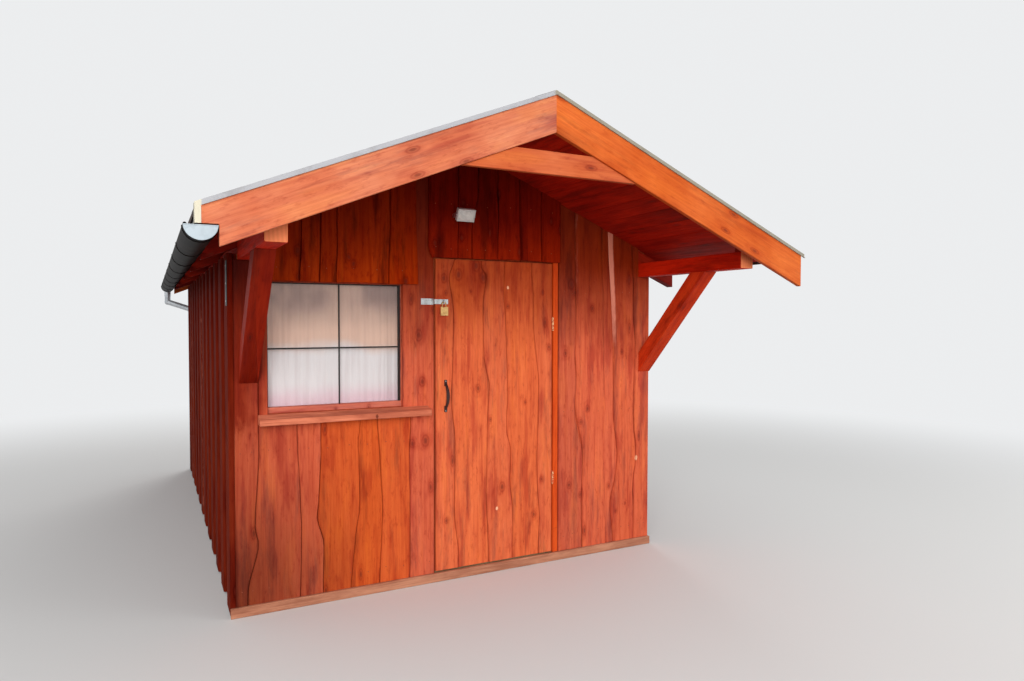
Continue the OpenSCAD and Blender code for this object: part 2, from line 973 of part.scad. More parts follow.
// Strap with its slot, and the staple on the door that it closes over
module hasp_strap() {
    knuckle_gap = 5.5;
    strap_h = 30;
    strap_end = 30;
    slot_w = 10;
    slot_h = 24;
    base_s = 30;
    color("silver")
    union() {
        difference() {
            box(hasp_pivot_x + hasp_knuckle_r + knuckle_gap, staple_x + strap_end,
                y_front - strap_face, y_front - strap_back,
                hasp_z - strap_h / 2, hasp_z + strap_h / 2);
            box(staple_x - slot_w / 2, staple_x + slot_w / 2, y_front - big, y_front,
                hasp_z - slot_h / 2, hasp_z + slot_h / 2);
        }
        box(staple_x - base_s / 2, staple_x + base_s / 2, y_front - strap_back, y_front,
            hasp_z - base_s / 2, hasp_z + base_s / 2);
        for (z = [hasp_z - staple_half, hasp_z + staple_half])
            translate([staple_x, y_front, z])
            rotate([90, 0, 0])
            cylinder(h = staple_y, r = staple_r);
        translate([staple_x, y_front - staple_y, hasp_z - staple_half - staple_r])
        cylinder(h = 2 * (staple_half + staple_r), r = staple_r);
    }
}

// Padlock hanging on the staple's lower leg: body and shackle
module padlock() {
    body_w = 50;
    body_h = 54;
    body_t = 15;
    half = 12;
    leg = 20;
    arch_z = hasp_z - staple_half + staple_r + seat_gap + shackle_d / 2 - half;
    body_top = arch_z - leg;
    color("goldenrod")
    union() {
        box(staple_x - body_w / 2, staple_x + body_w / 2,
            y_front - shackle_y - body_t / 2, y_front - shackle_y + body_t / 2,
            body_top - body_h, body_top);
        for (x = [staple_x - half, staple_x + half])
            translate([x, y_front - shackle_y, body_top])
            cylinder(h = leg, d = shackle_d);
        translate([staple_x, y_front - shackle_y, arch_z])
        rotate([90, 0, 0])
        rotate_extrude(angle = 180)
        translate([half, 0])
        circle(d = shackle_d, $fn = 24);
    }
}

// Window

module window_frame() {
    color("firebrick")
    difference() {
        across(y_front_in, y_front_in + win_frame_t)
        difference() {
            translate([win_x0 - win_lap, win_z0])
            square([win_x1 - win_x0 + 2 * win_lap, win_z1 + win_lap - win_z0]);
            translate([win_x0, win_z0 + win_rail])
            square([win_x1 - win_x0, win_z1 - win_z0 - win_rail]);
        }
        glass_pane();
    }
}

// The glass, held in a groove of the frame
module glass_pane() {
    groove = 8;
    y0 = y_front_in + (win_frame_t - glass_t) / 2;
    box(win_x0 - groove, win_x1 + groove, y0, y0 + glass_t,
        win_z0 + win_rail - groove, win_z1 + groove);
}

module window_glass() {
    color("lightcyan", 0.35)
    glass_pane();
}

// Projecting board under the window, falling outwards
module window_sill() {
    color("sienna")
    along_x(win_x0 - sill_left, door_x0 - sill_door_gap)
    polygon([[y_front, win_z0], [y_front, win_z0 - sill_t - sill_fall],
             [y_front - sill_reach, win_z0 - sill_t - sill_fall],
             [y_front - sill_reach, win_z0 - sill_fall]]);
}

rod_r = 5;
rod_up = 18;
rod_gap = 8;
rod_z = win_z1 + rod_up;
y_rod = y_front_in + win_frame_t + curtain_t / 2 + rod_gap;
curtain_lap = 15;

module curtain() {
    foot = 12;
    color("gainsboro")
    box(win_x0 - curtain_lap, win_x1 + curtain_lap, y_rod - curtain_t / 2, y_rod + curtain_t / 2,
        win_z0 + foot, rod_z - rod_r - seat_gap);
}

// Rod on two hooks that are screwed to the window frame
module curtain_rod() {
    end = 2 * curtain_lap;
    hook_w = 6;
    hook_x = curtain_lap + hook_w;
    color("silver")
    union() {
        translate([win_x0 - end, y_rod, rod_z])
        rotate([0, 90, 0])
        cylinder(h = win_x1 - win_x0 + 2 * end, r = rod_r);
        for (x = [win_x0 - hook_x, win_x1 + hook_x])
            box(x - hook_w / 2, x + hook_w / 2, y_front_in + win_frame_t, y_rod,
                rod_z - hook_w / 2, rod_z + hook_w / 2);
    }
}

// Floodlight

lamp_y = y_front - outer_t - lamp_out;
lamp_z = door_head_z + lamp_up;

// Shallow housing with a recessed front and cooling fins on its back
module floodlight() {
    fins = 7;
    fin_t = 3;
    fin_h = 9;
    fin_end = 10;
    rim = 8;
    recess = 4;
    fin_step = (lamp_w - 3 * fin_end) / (fins - 1);
    color("gainsboro")
    translate([lamp_x, lamp_y, lamp_z])
    rotate([lamp_tilt, 0, 0])
    difference() {
        union() {
            translate([-lamp_w / 2, -lamp_t / 2, -lamp_h / 2])
            cube([lamp_w, lamp_t, lamp_h]);
            for (i = [0 : fins - 1])
                translate([fin_step * (i - (fins - 1) / 2) - fin_t / 2, 0, fin_end - lamp_h / 2])
                cube([fin_t, lamp_t / 2 + fin_h, lamp_h - 2 * fin_end]);
        }
        translate([rim - lamp_w / 2, recess - lamp_t / 2 - big, rim - lamp_h / 2])
        cube([lamp_w - 2 * rim, big, lamp_h - 2 * rim]);
    }
}

// Stirrup from the wall to the floodlight's sides
module floodlight_bracket() {
    strap_t = 3;
    strap_h = 24;
    past = 12;
    x_in = lamp_w / 2 + seat_gap;
    x_out = x_in + strap_t;
    y_wall = y_front - outer_t;
    z0 = lamp_z - strap_h / 2;
    color("silver")
    difference() {
        box(lamp_x - x_out, lamp_x + x_out, lamp_y - past, y_wall, z0, z0 + strap_h);
        box(lamp_x - x_in, lamp_x + x_in, lamp_y - big, y_wall - strap_t, 0, big);
    }
}

// Flat steel plate over the joint of the left wall's front corner
module corner_plate() {
    plate_t = 3;
    plate_w = 70;
    inset = 8;
    top = beam_z - corner_plate_drop;
    color("dimgray")
    box(x_left - plate_t, x_left, y_front + inset, y_front + inset + plate_w,
        top - corner_plate_h, top);
}

base_bearers();
floor_boards();
base_rail();
corner_posts();
wall_studs();
eave_beams();
left_brace();
right_brace();
front_wall_left();
front_wall_over_door();
front_wall_right();
door_jamb_batten();
window_head_boards();
gable_boards();
left_wall();
right_wall();
rear_wall();
left_rafters();
right_rafters();
front_verge_rafters();
left_roof_boards();
right_roof_boards();
left_shingles();
right_shingles();
ridge_cap();
front_barge_left();
front_barge_right();
rear_barge();
collar_tie();
front_verge_trim();
rear_verge_trim();
eave_drips();
gutter();
gutter_brackets();
downpipe();
door_leaf();
door_ledges();
door_hinge_leaves();
frame_hinge_leaves();
door_handle();
hasp_plate();
hasp_strap();
padlock();
window_frame();
window_glass();
window_sill();
curtain();
curtain_rod();
floodlight();
floodlight_bracket();
corner_plate();
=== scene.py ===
"""Looks of the red waney-edge boathouse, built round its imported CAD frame.

Metres in the CAD frame: +X along the front to the right, +Y into the depth, +Z up.
Boards are joined meshes, one closed solid a board. A wall is described by its seams,
each a wavy line of (height, place) points.
"""

import math
import random

import bmesh
import bpy
from mathutils import Matrix, Vector, noise


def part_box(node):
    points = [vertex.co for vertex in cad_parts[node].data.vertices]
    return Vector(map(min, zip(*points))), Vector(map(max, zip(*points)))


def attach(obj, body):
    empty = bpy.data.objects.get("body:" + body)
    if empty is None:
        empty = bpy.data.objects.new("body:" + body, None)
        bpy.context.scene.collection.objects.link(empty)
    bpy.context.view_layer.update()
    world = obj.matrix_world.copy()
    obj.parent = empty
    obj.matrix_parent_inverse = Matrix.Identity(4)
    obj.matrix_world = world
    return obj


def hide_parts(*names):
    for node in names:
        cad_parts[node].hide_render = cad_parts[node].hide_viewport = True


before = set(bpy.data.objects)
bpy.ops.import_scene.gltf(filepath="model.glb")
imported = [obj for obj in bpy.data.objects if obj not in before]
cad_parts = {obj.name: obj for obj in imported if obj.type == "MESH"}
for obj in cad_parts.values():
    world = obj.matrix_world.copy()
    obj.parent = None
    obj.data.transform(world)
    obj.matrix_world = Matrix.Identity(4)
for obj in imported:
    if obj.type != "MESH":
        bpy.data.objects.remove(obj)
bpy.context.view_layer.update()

# Sizes that the frame gives

PITCH = math.radians(22.4)
RISE = math.tan(PITCH)
left_low, left_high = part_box("front_wall_left")
right_low, right_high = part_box("front_wall_right")
left_brace_low, left_brace_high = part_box("left_brace")
right_brace_low, right_brace_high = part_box("right_brace")
FRONT_FACE, FRONT_BACK = left_low.y, left_high.y
WALL_LEFT, WALL_RIGHT, WALL_FOOT = left_low.x, right_high.x, left_low.z
DOOR_LEFT, DOOR_RIGHT = left_high.x, right_low.x
DOOR_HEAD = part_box("front_wall_over_door")[0].z
BEAM = left_brace_high.x - left_brace_low.x
BEAM_LEFT, BEAM_RIGHT = left_brace_high.x, right_brace_low.x
LEFT_BEAM_FOOT = left_brace_high.z - 0.001
RIGHT_BEAM_FOOT = right_brace_high.z - 0.001
LEFT_BEAM_TOP = left_brace_high.z + BEAM + 0.001
RIDGE_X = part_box("front_barge_left")[1].x
DECK_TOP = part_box("left_roof_boards")[1].z
DECK_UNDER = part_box("left_rafters")[1].z
GLASS_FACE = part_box("window_glass")[0].y
WINDOW_LEFT, WINDOW_RIGHT, WINDOW_HEAD = -1.249, -0.455, 1.882
WINDOW_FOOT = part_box("window_sill")[1].z
RAIL_TOP = WINDOW_FOOT + 0.034
# The room's plan between the inner faces of the walls: (axis, low, high)
ROOM = (("X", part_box("left_wall")[1].x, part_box("right_wall")[0].x),
        ("Y", FRONT_BACK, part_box("rear_wall")[0].y))

# Front cladding: its whole depth, that of its plain inner layer, and that of the boards
# nailed over it at the top. HAIR keeps drawn boards inside the CAD solids
CLADDING = FRONT_BACK - FRONT_FACE
LAYER = 0.013
OVER = 0.022
HAIR = 0.0005
# How far the lamp's pins lie behind the front of its bracket
LAMP_PIN = 0.012


def roof_under(x):
    """Height of the roof boards' underside."""
    return DECK_UNDER - abs(x - RIDGE_X) * RISE


def wall_top(x):
    """Top of the front cladding, a little under the roof boards."""
    return roof_under(x) - HAIR


# Knots, resin and bare spots on the front, read from the photograph: (x, z, radius)

DOOR_KNOTS = (
    (-0.179, 1.931, 0.016), (-0.166, 1.838, 0.009), (-0.077, 1.957, 0.020), (0.010, 1.851, 0.006),
    (0.048, 2.018, 0.020), (0.098, 1.943, 0.020), (0.062, 1.220, 0.014), (0.596, 1.482, 0.012),
    (0.412, 1.111, 0.007), (0.544, 1.855, 0.010), (0.279, 1.758, 0.009), (0.236, 0.554, 0.017),
    (0.150, 1.011, 0.008), (0.539, 0.575, 0.010), (0.478, 0.339, 0.012), (-0.165, 0.380, 0.010))
DOOR_SPOTS = ((0.197, 0.414, 0.008), (0.279, 1.882, 0.008))
WALL_KNOTS = (
    (0.951, 1.750, 0.012), (0.731, 1.436, 0.014), (1.212, 1.435, 0.011), (0.778, 1.917, 0.020),
    (0.804, 1.859, 0.012), (0.914, 1.038, 0.014), (0.764, 0.508, 0.014), (0.858, 0.947, 0.010),
    (0.856, 0.429, 0.012), (1.106, 0.463, 0.009), (1.166, 0.274, 0.008), (1.247, 0.322, 0.007),
    (-0.347, 1.571, 0.019), (-0.325, 1.280, 0.016), (-0.252, 1.728, 0.012),
    (-0.392, 0.895, 0.014), (-0.304, 0.906, 0.019))
WALL_SPOTS = ((1.344, 0.649, 0.012),)
HEAD_KNOTS = ((-1.079, 1.914, 0.011), (-0.761, 1.999, 0.014), (-0.789, 2.037, 0.012),
              (-0.438, 1.904, 0.016), (-1.081, 2.063, 0.018))
GABLE_KNOTS = ((-0.063, 2.192, 0.013), (-0.248, 2.148, 0.014), (0.598, 2.337, 0.013),
               (0.201, 2.492, 0.012), (-0.053, 2.414, 0.013))
RAIL_KNOTS = ((-0.659, 1.134, 0.010), (-0.860, 1.136, 0.006))
SILL_KNOTS = ((-0.64, 1.09, 0.008),)


# Shader helpers


def paint(red, green, blue):
    """A colour read from the photograph's 0 to 255 scale, as a shader takes it."""
    def linear(value):
        value /= 255
        return value / 12.92 if value <= 0.04045 else ((value + 0.055) / 1.055) ** 2.4
    return (linear(red), linear(green), linear(blue), 1.0)


class Nodes:
    """Short calls for the nodes of a material or world."""

    def __init__(self, owner):
        owner.use_nodes = True
        self.tree = owner.node_tree
        self.tree.nodes.clear()

    def node(self, kind, *sources, **settings):
        """A node with its first sockets set or linked in turn."""
        made = self.tree.nodes.new("ShaderNode" + kind)
        for key, value in settings.items():
            setattr(made, key, value)
        for source, socket in zip(sources, made.inputs):
            self.join(source, socket)
        return made

    def join(self, source, socket):
        if isinstance(source, bpy.types.NodeSocket):
            self.tree.links.new(source, socket)
        else:
            socket.default_value = source

    def math(self, operation, *terms, clamp=False):
        return self.node("Math", *terms, operation=operation, use_clamp=clamp).outputs[0]

    def times(self, value, factor, plus=0.0):
        return self.math("MULTIPLY_ADD", value, factor, plus)

    def vector(self, operation, *terms):
        made = self.node("VectorMath", *terms, operation=operation)
        return made.outputs["Value" if operation == "LENGTH" else "Vector"]

    def mix(self, factor, first, second, blend="MIX"):
        made = self.node("Mix", factor, data_type="RGBA", blend_type=blend)
        self.join(first, made.inputs[6])
        self.join(second, made.inputs[7])
        return made.outputs[2]

    def tint(self, factor, base, red, green, blue):
        """base times a colour, by a factor."""
        return self.mix(factor, base, (red, green, blue, 1.0), "MULTIPLY")

    def tinted(self, base, *tints):
        """base tinted in turn, each time where a value goes from low to high:
        (value, low, high, strength, red, green, blue)."""
        for value, low, high, strength, *colour in tints:
            base = self.tint(self.spread(value, low, high, 0.0, strength), base, *colour)
        return base

    def noise(self, place, scale=1.0, detail=2.0, roughness=0.5, output="Fac"):
        return self.node("TexNoise", place, 0.0, scale, detail, roughness).outputs[output]

    def grain(self, place, across, along, detail=3.0, roughness=0.5):
        """Noise drawn out along Z."""
        return self.noise(self.vector("MULTIPLY", place, (across, across, along)),
                          detail=detail, roughness=roughness)

    def cells(self, place, scale=1.0, flat=False):
        made = self.node("TexVoronoi", place, 0.0, scale, voronoi_dimensions="2D" if flat else "3D")
        return made.outputs["Distance"], made.outputs["Color"]

    def spread(self, value, low, high, to_low=0.0, to_high=1.0):
        """value eased from the range low to high into another range."""
        return self.node("MapRange", value, low, high, to_low, to_high,
                         interpolation_type="SMOOTHSTEP").outputs[0]

    def attribute(self, name):
        return self.node("Attribute", attribute_name=name).outputs["Fac"]

    def axis(self, place, letter):
        return self.node("SeparateXYZ", place).outputs[letter]

    def joined_axes(self, *places):
        return self.node("CombineXYZ", *places).outputs[0]

    def blend(self, factor, first, second):
        """One shader turning into another."""
        return self.node("MixShader", factor, first, second).outputs[0]

    def seen_directly(self):
        """1 for camera, mirror and glass rays, which see the plain background."""
        rays = self.node("LightPath").outputs
        seen = self.math("MAXIMUM", rays["Is Camera Ray"], rays["Is Glossy Ray"])
        return self.math("MAXIMUM", seen, rays["Is Transmission Ray"])


class Finish(Nodes):
    """A material with its surface and its place on the object."""

    def __init__(self, name):
        self.material = bpy.data.materials.new(name)
        super().__init__(self.material)
        self.surface = self.node("BsdfPrincipled")
        self.output = self.node("OutputMaterial", self.surface.outputs[0]).inputs[0]
        texture = self.node("TexCoord")
        self.place = texture.outputs["Object"]
        self.facing = texture.outputs["Normal"]

    def turned(self, rotation):
        return self.node("Mapping", self.place, (0, 0, 0), rotation).outputs[0]

    def nearest(self, marks):
        """Distance on the front to the nearest of the marks, in radii, a little uneven."""
        sway, stretch, far = 0.012, 0.65, 9.0
        wobble = self.noise(self.place, 70.0, output="Color")
        place = self.vector("MULTIPLY_ADD", wobble, (sway, 0.0, sway), self.place)
        least = far
        for x, z, radius in marks:
            size, long_size = 1 / radius, stretch / radius
            apart = self.vector("MULTIPLY_ADD", place, (size, 0.0, long_size),
                                (-(x + sway / 2) * size, 0.0, -(z + sway / 2) * long_size))
            least = self.math("MINIMUM", self.vector("LENGTH", apart), least)
        return least

    def set(self, **sockets):
        """Sets or links the surface's sockets, named with _ for each space."""
        for name, source in sockets.items():
            self.join(source, self.surface.inputs[name.replace("_", " ")])

    def done(self, height, strength, distance, **sockets):
        """Sets the surface, gives it a relief and returns the material."""
        relief = self.node("Bump", strength, distance)
        self.join(height, relief.inputs["Height"])
        self.set(Normal=relief.outputs[0], **sockets)
        return self.material


# Finishes

ALONG_X = (0, math.radians(-90), 0)
ALONG_Y = (math.radians(90), 0, 0)
ALONG_Z = (0, 0, 0)
LEFT_SLOPE = (0, PITCH - math.radians(90), 0)
RIGHT_SLOPE = (0, -PITCH - math.radians(90), 0)
BRACE_SLOPE = (math.radians(-45), 0, 0)


def timber(name, pale, deep, grain=ALONG_Z, fade_and_shade=None, knots=(), spots=(), wild=0.3,
           rough=0.62, ends=None, figure=1.0, shine=0.16, painted_shades=(), lined=False):
    """Stained softwood. pale is the stain where light and rain reach it, and deep is the stain
    where it is kept dry, with painted shade under the roof put into it as well. Over its
    fade and shade heights one turns to the other. A board's tone moves it towards orange or
    towards pink, and its bevel highlight mark is a painted highlight, pale on wane faces
    that catch the light. Each place of painted shade is darker: the x where it is full and
    where it ends, the z where it ends and where it is full, and its colour. A lined timber
    is unpainted on the side of the room. ends is the colour of sawn ends, brightened as
    painted light above their grain's own colour, and their pith's x and z."""
    s = Finish(name)
    seed, tone = s.attribute("seed"), s.attribute("tone")
    shift = s.joined_axes(*(s.times(seed, step) for step in (37.0, 91.0, 53.0)))
    own = s.vector("ADD", s.turned(grain), shift)
    # Random knots lie in flat cells that are long with the grain. The rest are given marks
    across = s.math("ADD", s.axis(own, "X"), s.axis(own, "Y"))
    flat = s.joined_axes(s.times(across, 8.0), s.times(s.axis(own, "Z"), 2.9))
    cell, cell_colour = s.cells(flat, flat=True)
    empty = s.math("LESS_THAN", s.axis(cell_colour, "X"), 1.0 - wild)
    near = s.times(empty, 9.0, s.times(cell, 12.0))
    if knots:
        near = s.math("MINIMUM", near, s.nearest(knots))
    eye = s.spread(near, 0.3, 1.05, 1.0, 0.0)
    rim = s.spread(s.math("ABSOLUTE", s.math("SUBTRACT", near, 1.15)), 0.0, 0.45, 1.0, 0.0)
    halo = s.spread(near, 1.1, 3.6, 1.0, 0.0)
    # Year rings: contour lines of a long noise, pushed aside round the knots
    long_noise = s.times(halo, 0.12, s.grain(own, 7.0, 0.5, 1.5, 0.4))
    rings = s.spread(s.math("PINGPONG", s.times(long_noise, 15.0), 1.0), 0.3, 1.0)
    fibre = s.grain(own, 170.0, 5.0, roughness=0.65)
    streak = s.grain(own, 62.0, 1.8)
    grime = s.grain(own, 48.0, 15.0, 4.0, 0.7)
    patch = s.grain(own, 13.0, 2.1, roughness=0.6)
    dull = s.grain(own, 10.0, 1.3, 5.0, 0.7)
    cloud = s.noise(own, 2.1, 3.0, 0.6)
    # Deep is partly stain kept from fading and partly painted shade under the roof
    if fade_and_shade:
        drift = 0.5
        turn = s.spread(s.times(cloud, drift, s.axis(s.place, "Z")),
                        fade_and_shade[0] + drift / 2, fade_and_shade[1] + drift / 2)
    else:
        turn = s.spread(cloud, 0.35, 0.65)
    base = s.mix(turn, paint(*pale), paint(*deep))
    base = s.tint(s.math("MULTIPLY", tone, 1.0, clamp=True), base, 0.92, 0.78, 0.34)
    base = s.tint(s.math("MULTIPLY", tone, -1.0, clamp=True), base, 0.82, 0.80, 0.88)
    base = s.tinted(
        base,
        (patch, 0.5, 0.68, figure, 0.76, 0.58, 0.66), (patch, 0.48, 0.3, figure, 1.08, 1.18, 1.0),
        (dull, 0.5, 0.68, 0.8 * figure, 0.56, 0.60, 0.84),
        (streak, 0.5, 0.72, 0.55 * figure, 0.76, 0.55, 0.56),
        (streak, 0.48, 0.3, 0.5, 1.07, 1.16, 1.14),
        (grime, 0.52, 0.72, 0.75 * figure, 0.72, 0.52, 0.54),
        (grime, 0.46, 0.32, 0.5, 1.08, 1.20, 1.25))
    base = s.tint(s.times(rings, 0.3 * figure), base, 0.80, 0.60, 0.56)
    base = s.tinted(base, (fibre, 0.35, 0.7, 0.6, 0.82, 0.72, 0.72))
    base = s.tint(s.times(halo, 0.5), base, 0.78, 0.55, 0.55)
    base = s.tint(s.times(rim, 0.5), base, 0.52, 0.32, 0.36)
    base = s.mix(s.times(eye, 0.62), base, paint(98, 35, 26))
    if spots:
        base = s.mix(s.spread(s.nearest(spots), 0.6, 1.2, 0.9, 0.0), base, paint(244, 190, 150))
    # Edges darken with stain gathered there and with painted shade where the wane slopes away
    edge = s.times(s.math("SUBTRACT", dull, 0.5), 3.0, s.attribute("edge"))
    base = s.tinted(base, (edge, 0.3, 1.5, 0.6, 0.60, 0.42, 0.42))
    # Painted highlight: pale on the wane faces marked for it
    worn = s.times(s.math("SUBTRACT", grime, 0.5), 0.5, s.attribute("bevel_highlight"))
    base = s.mix(s.spread(worn, 0.3, 0.75, 0.0, 0.85), base, paint(226, 140, 116))
    drift_x, drift_z = 0.4, 0.3
    # Painted shade, darker over each place given
    for x_full, x_ends, z_ends, z_full, colour in painted_shades:
        x = s.times(cloud, drift_x, s.axis(s.place, "X"))
        z = s.times(grime, drift_z, s.axis(s.place, "Z"))
        there = s.times(s.spread(x, x_full + drift_x / 2, x_ends + drift_x / 2, 1.0, 0.0),
                        s.spread(z, z_ends + drift_z / 2, z_full + drift_z / 2))
        base = s.tint(there, base, *colour)
    if lined:
        inside = 1.0
        for axis, low, high in ROOM:
            off = s.math("ABSOLUTE", s.math("SUBTRACT", s.axis(s.place, axis), (low + high) / 2))
            inside = s.times(s.math("LESS_THAN", off, (high - low) / 2 + 0.0012), inside)
        raw = s.tinted(paint(200, 156, 110), (patch, 0.4, 0.65, 0.8, 0.72, 0.62, 0.52),
                       (fibre, 0.35, 0.7, 0.7, 0.74, 0.66, 0.58))
        base = s.mix(inside, base, s.tint(s.times(rim, 0.6), raw, 0.45, 0.3, 0.25))
    # Sawn ends: year rings, in a colour brightened as painted light
    if ends:
        end_colour, (pith_x, pith_z) = ends
        sawn = s.math("GREATER_THAN", s.math("ABSOLUTE", s.axis(s.facing, "Y")), 0.9)
        from_pith = s.vector("MULTIPLY", s.vector("ADD", s.place, (-pith_x, 0.0, -pith_z)),
                             (1.0, 0.0, 1.0))
        years = s.times(cloud, 1.5, s.times(s.vector("LENGTH", from_pith), 110.0))
        year = s.math("PINGPONG", years, 1.0)
        base = s.mix(sawn, base, s.tint(s.times(year, 0.4), paint(*end_colour), 0.75, 0.6, 0.55))
    height = s.times(rim, -0.8, s.times(rings, -0.6, s.times(fibre, 0.7)))
    return s.done(height, 0.5, 0.0012, Base_Color=base, Specular_IOR_Level=shine,
                  Roughness=s.spread(fibre, 0.2, 0.8, rough - 0.07, rough + 0.12))


def bare_timber(name, pale, worn, knots=()):
    """Unpainted or worn wood along X, weathered in patches."""
    s = Finish(name)
    own = s.turned(ALONG_X)
    fibre = s.grain(own, 150.0, 4.0)
    figure = s.grain(own, 16.0, 1.0, 2.0)
    cloud = s.grain(own, 14.0, 3.0, 4.0, 0.65)
    base = s.tinted(s.mix(s.spread(cloud, 0.38, 0.62), paint(*pale), paint(*worn)),
                    (figure, 0.45, 0.7, 0.6, 0.66, 0.56, 0.54),
                    (fibre, 0.4, 0.75, 0.6, 0.60, 0.48, 0.44))
    if knots:
        base = s.mix(s.spread(s.nearest(knots), 0.6, 1.3, 0.8, 0.0), base, paint(92, 34, 24))
    return s.done(fibre, 0.75, 0.0012, Base_Color=base, Specular_IOR_Level=0.2,
                  Roughness=s.spread(fibre, 0.2, 0.8, 0.6, 0.85))


def metal(name, colour, stains, rough, metallic=0.9, scale=40.0, reflected_bands=None, worn=None, shine=0.5):
    """Sheet or cast metal, mottled, with dirt or rust in patches. The reflected bands colour paints
    soft rings of reflection across a long gutter, and worn is the colour of small scuffs."""
    s = Finish(name)
    _, spangle = s.cells(s.place, scale)
    cloud = s.noise(s.place, scale * 0.35, 4.0, 0.6)
    base = s.tinted(paint(*colour), (s.axis(spangle, "X"), 0.0, 1.0, 0.3, 0.62, 0.64, 0.66))
    base = s.mix(s.spread(cloud, 0.5, 0.72, 0.0, 0.7), base, paint(*stains))
    if reflected_bands:
        ring = s.noise(s.vector("MULTIPLY", s.place, (1.5, 21.0, 1.5)), roughness=0.6)
        base = s.mix(s.spread(ring, 0.52, 0.66, 0.0, 0.75), base, paint(*reflected_bands))
        cloud = s.math("ADD", cloud, ring)
    if worn:
        scuff = s.noise(s.place, 130.0)
        base = s.mix(s.spread(scuff, 0.45, 0.6, 0.0, 0.9), base, paint(*worn))
    return s.done(cloud, 0.35, 0.0004, Base_Color=base, Metallic=metallic, Specular_IOR_Level=shine,
                  Roughness=s.spread(cloud, 0.3, 0.7, rough - 0.08, rough + 0.16))


def edging():
    """Painted metal of the roof's edge: grey, browner on the right, cream at the left end."""
    s = Finish("pale_metal")
    x = s.axis(s.place, "X")
    cloud = s.noise(s.place, 9.0, 4.0, 0.6)
    cream_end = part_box("front_verge_trim")[0].x + 0.02
    base = s.mix(s.spread(x, RIDGE_X - 0.02, RIDGE_X), paint(172, 172, 175), paint(150, 143, 128))
    base = s.mix(s.spread(x, cream_end, cream_end + 0.01, 1.0, 0.0), base, paint(212, 205, 182))
    base = s.tinted(base, (cloud, 0.5, 0.7, 0.7, 0.72, 0.70, 0.68))
    return s.done(cloud, 0.3, 0.0006, Base_Color=base, Specular_IOR_Level=0.25,
                  Roughness=s.spread(cloud, 0.3, 0.7, 0.45, 0.7))


def felt():
    """Bitumen shingles with mineral granules."""
    s = Finish("roof_felt")
    grit = s.noise(s.place, 420.0)
    cloud = s.noise(s.place, 1.7, 4.0)
    base = s.mix(s.spread(grit, 0.35, 0.7), paint(52, 50, 50), paint(112, 106, 102))
    browned = s.math("MULTIPLY", s.attribute("tone"), 0.5, clamp=True)
    base = s.mix(browned, base, paint(122, 100, 92))
    base = s.mix(s.spread(cloud, 0.5, 0.75, 0.0, 0.55), base, paint(74, 80, 58))
    return s.done(grit, 0.7, 0.0015, Base_Color=base, Roughness=0.92)


def clear_glass():
    """A thin pane that lets the lamps' light through."""
    s = Finish("pane_glass")
    dust = s.noise(s.place, 14.0, 4.0)
    s.set(Base_Color=(0.99, 1.0, 0.995, 1.0), Transmission_Weight=1.0, IOR=1.45,
          Roughness=s.spread(dust, 0.4, 0.8, 0.01, 0.10))
    rays = s.node("LightPath").outputs
    straight_on = s.math("MAXIMUM", rays["Is Shadow Ray"], rays["Is Diffuse Ray"])
    clear = s.node("BsdfTransparent").outputs[0]
    s.join(s.blend(straight_on, s.surface.outputs[0], clear), s.output)
    return s.material


def net():
    """Fine curtain net: near white low down; higher up, peach with painted shade under the roof,
    and darker blotches of painted reflection.
    """
    s = Finish("curtain_net")
    threads = []
    for way in ("Z", "X"):
        thread = s.node("TexWave", s.place, 110.0, bands_direction=way)
        threads.append(thread.outputs["Fac"])
    streak = s.grain(s.place, 34.0, 1.6)
    reflection_blotch = s.grain(s.place, 5.0, 4.0)
    height = s.times(s.noise(s.place, 5.0, 3.0), 0.10, s.axis(s.place, "Z"))
    # Peach higher up: painted shade under the roof
    base = s.mix(s.spread(height, 1.50, 1.60), paint(222, 217, 217), paint(222, 184, 162))
    base = s.mix(s.spread(height, 1.22, 1.36, 0.9, 0.0), base, paint(216, 182, 192))
    # Darker blotches higher up: painted reflection
    upper = s.times(s.spread(height, 1.62, 1.86), s.spread(reflection_blotch, 0.3, 0.7, 0.45, 0.95))
    base = s.tinted(s.mix(upper, base, paint(140, 112, 104)),
                    (streak, 0.42, 0.7, 0.6, 0.86, 0.82, 0.82))
    return s.done(s.times(*threads), 0.4, 0.0004, Base_Color=base, Roughness=0.9, Sheen_Weight=0.25)


def dress(material, bevel, *names):
    """Gives a material and eased edges to CAD nodes that are shown as they are."""
    for name in names:
        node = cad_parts[name]
        for slot in node.material_slots:
            slot.material = material
        if bevel:
            node.modifiers.new("weld", "WELD").merge_threshold = 0.00005
            ease = node.modifiers.new("ease", "BEVEL")
            ease.width = bevel
            ease.segments = 2
            ease.limit_method = "ANGLE"
            ease.angle_limit = math.radians(40)


# Materials of the pieces that scene.py draws

# Painted shade on the front: towards its left corner, low down with some splashed dirt at the foot,
# and left of the window by the brace
LEFT_PAINTED_SHADE = ((-1.5, -0.55, -2.0, -1.0, (0.72, 0.68, 0.62)),
               (-1.5, -0.4, 0.9, 0.1, (0.44, 0.42, 0.38)),
               (-1.36, -1.2, 0.95, 1.15, (0.50, 0.24, 0.16)))
front_boards = timber("front_boards", (221, 104, 69), (138, 42, 11), fade_and_shade=(1.3, 2.1), wild=0.1,
                      knots=WALL_KNOTS, spots=WALL_SPOTS, painted_shades=LEFT_PAINTED_SHADE, lined=True)
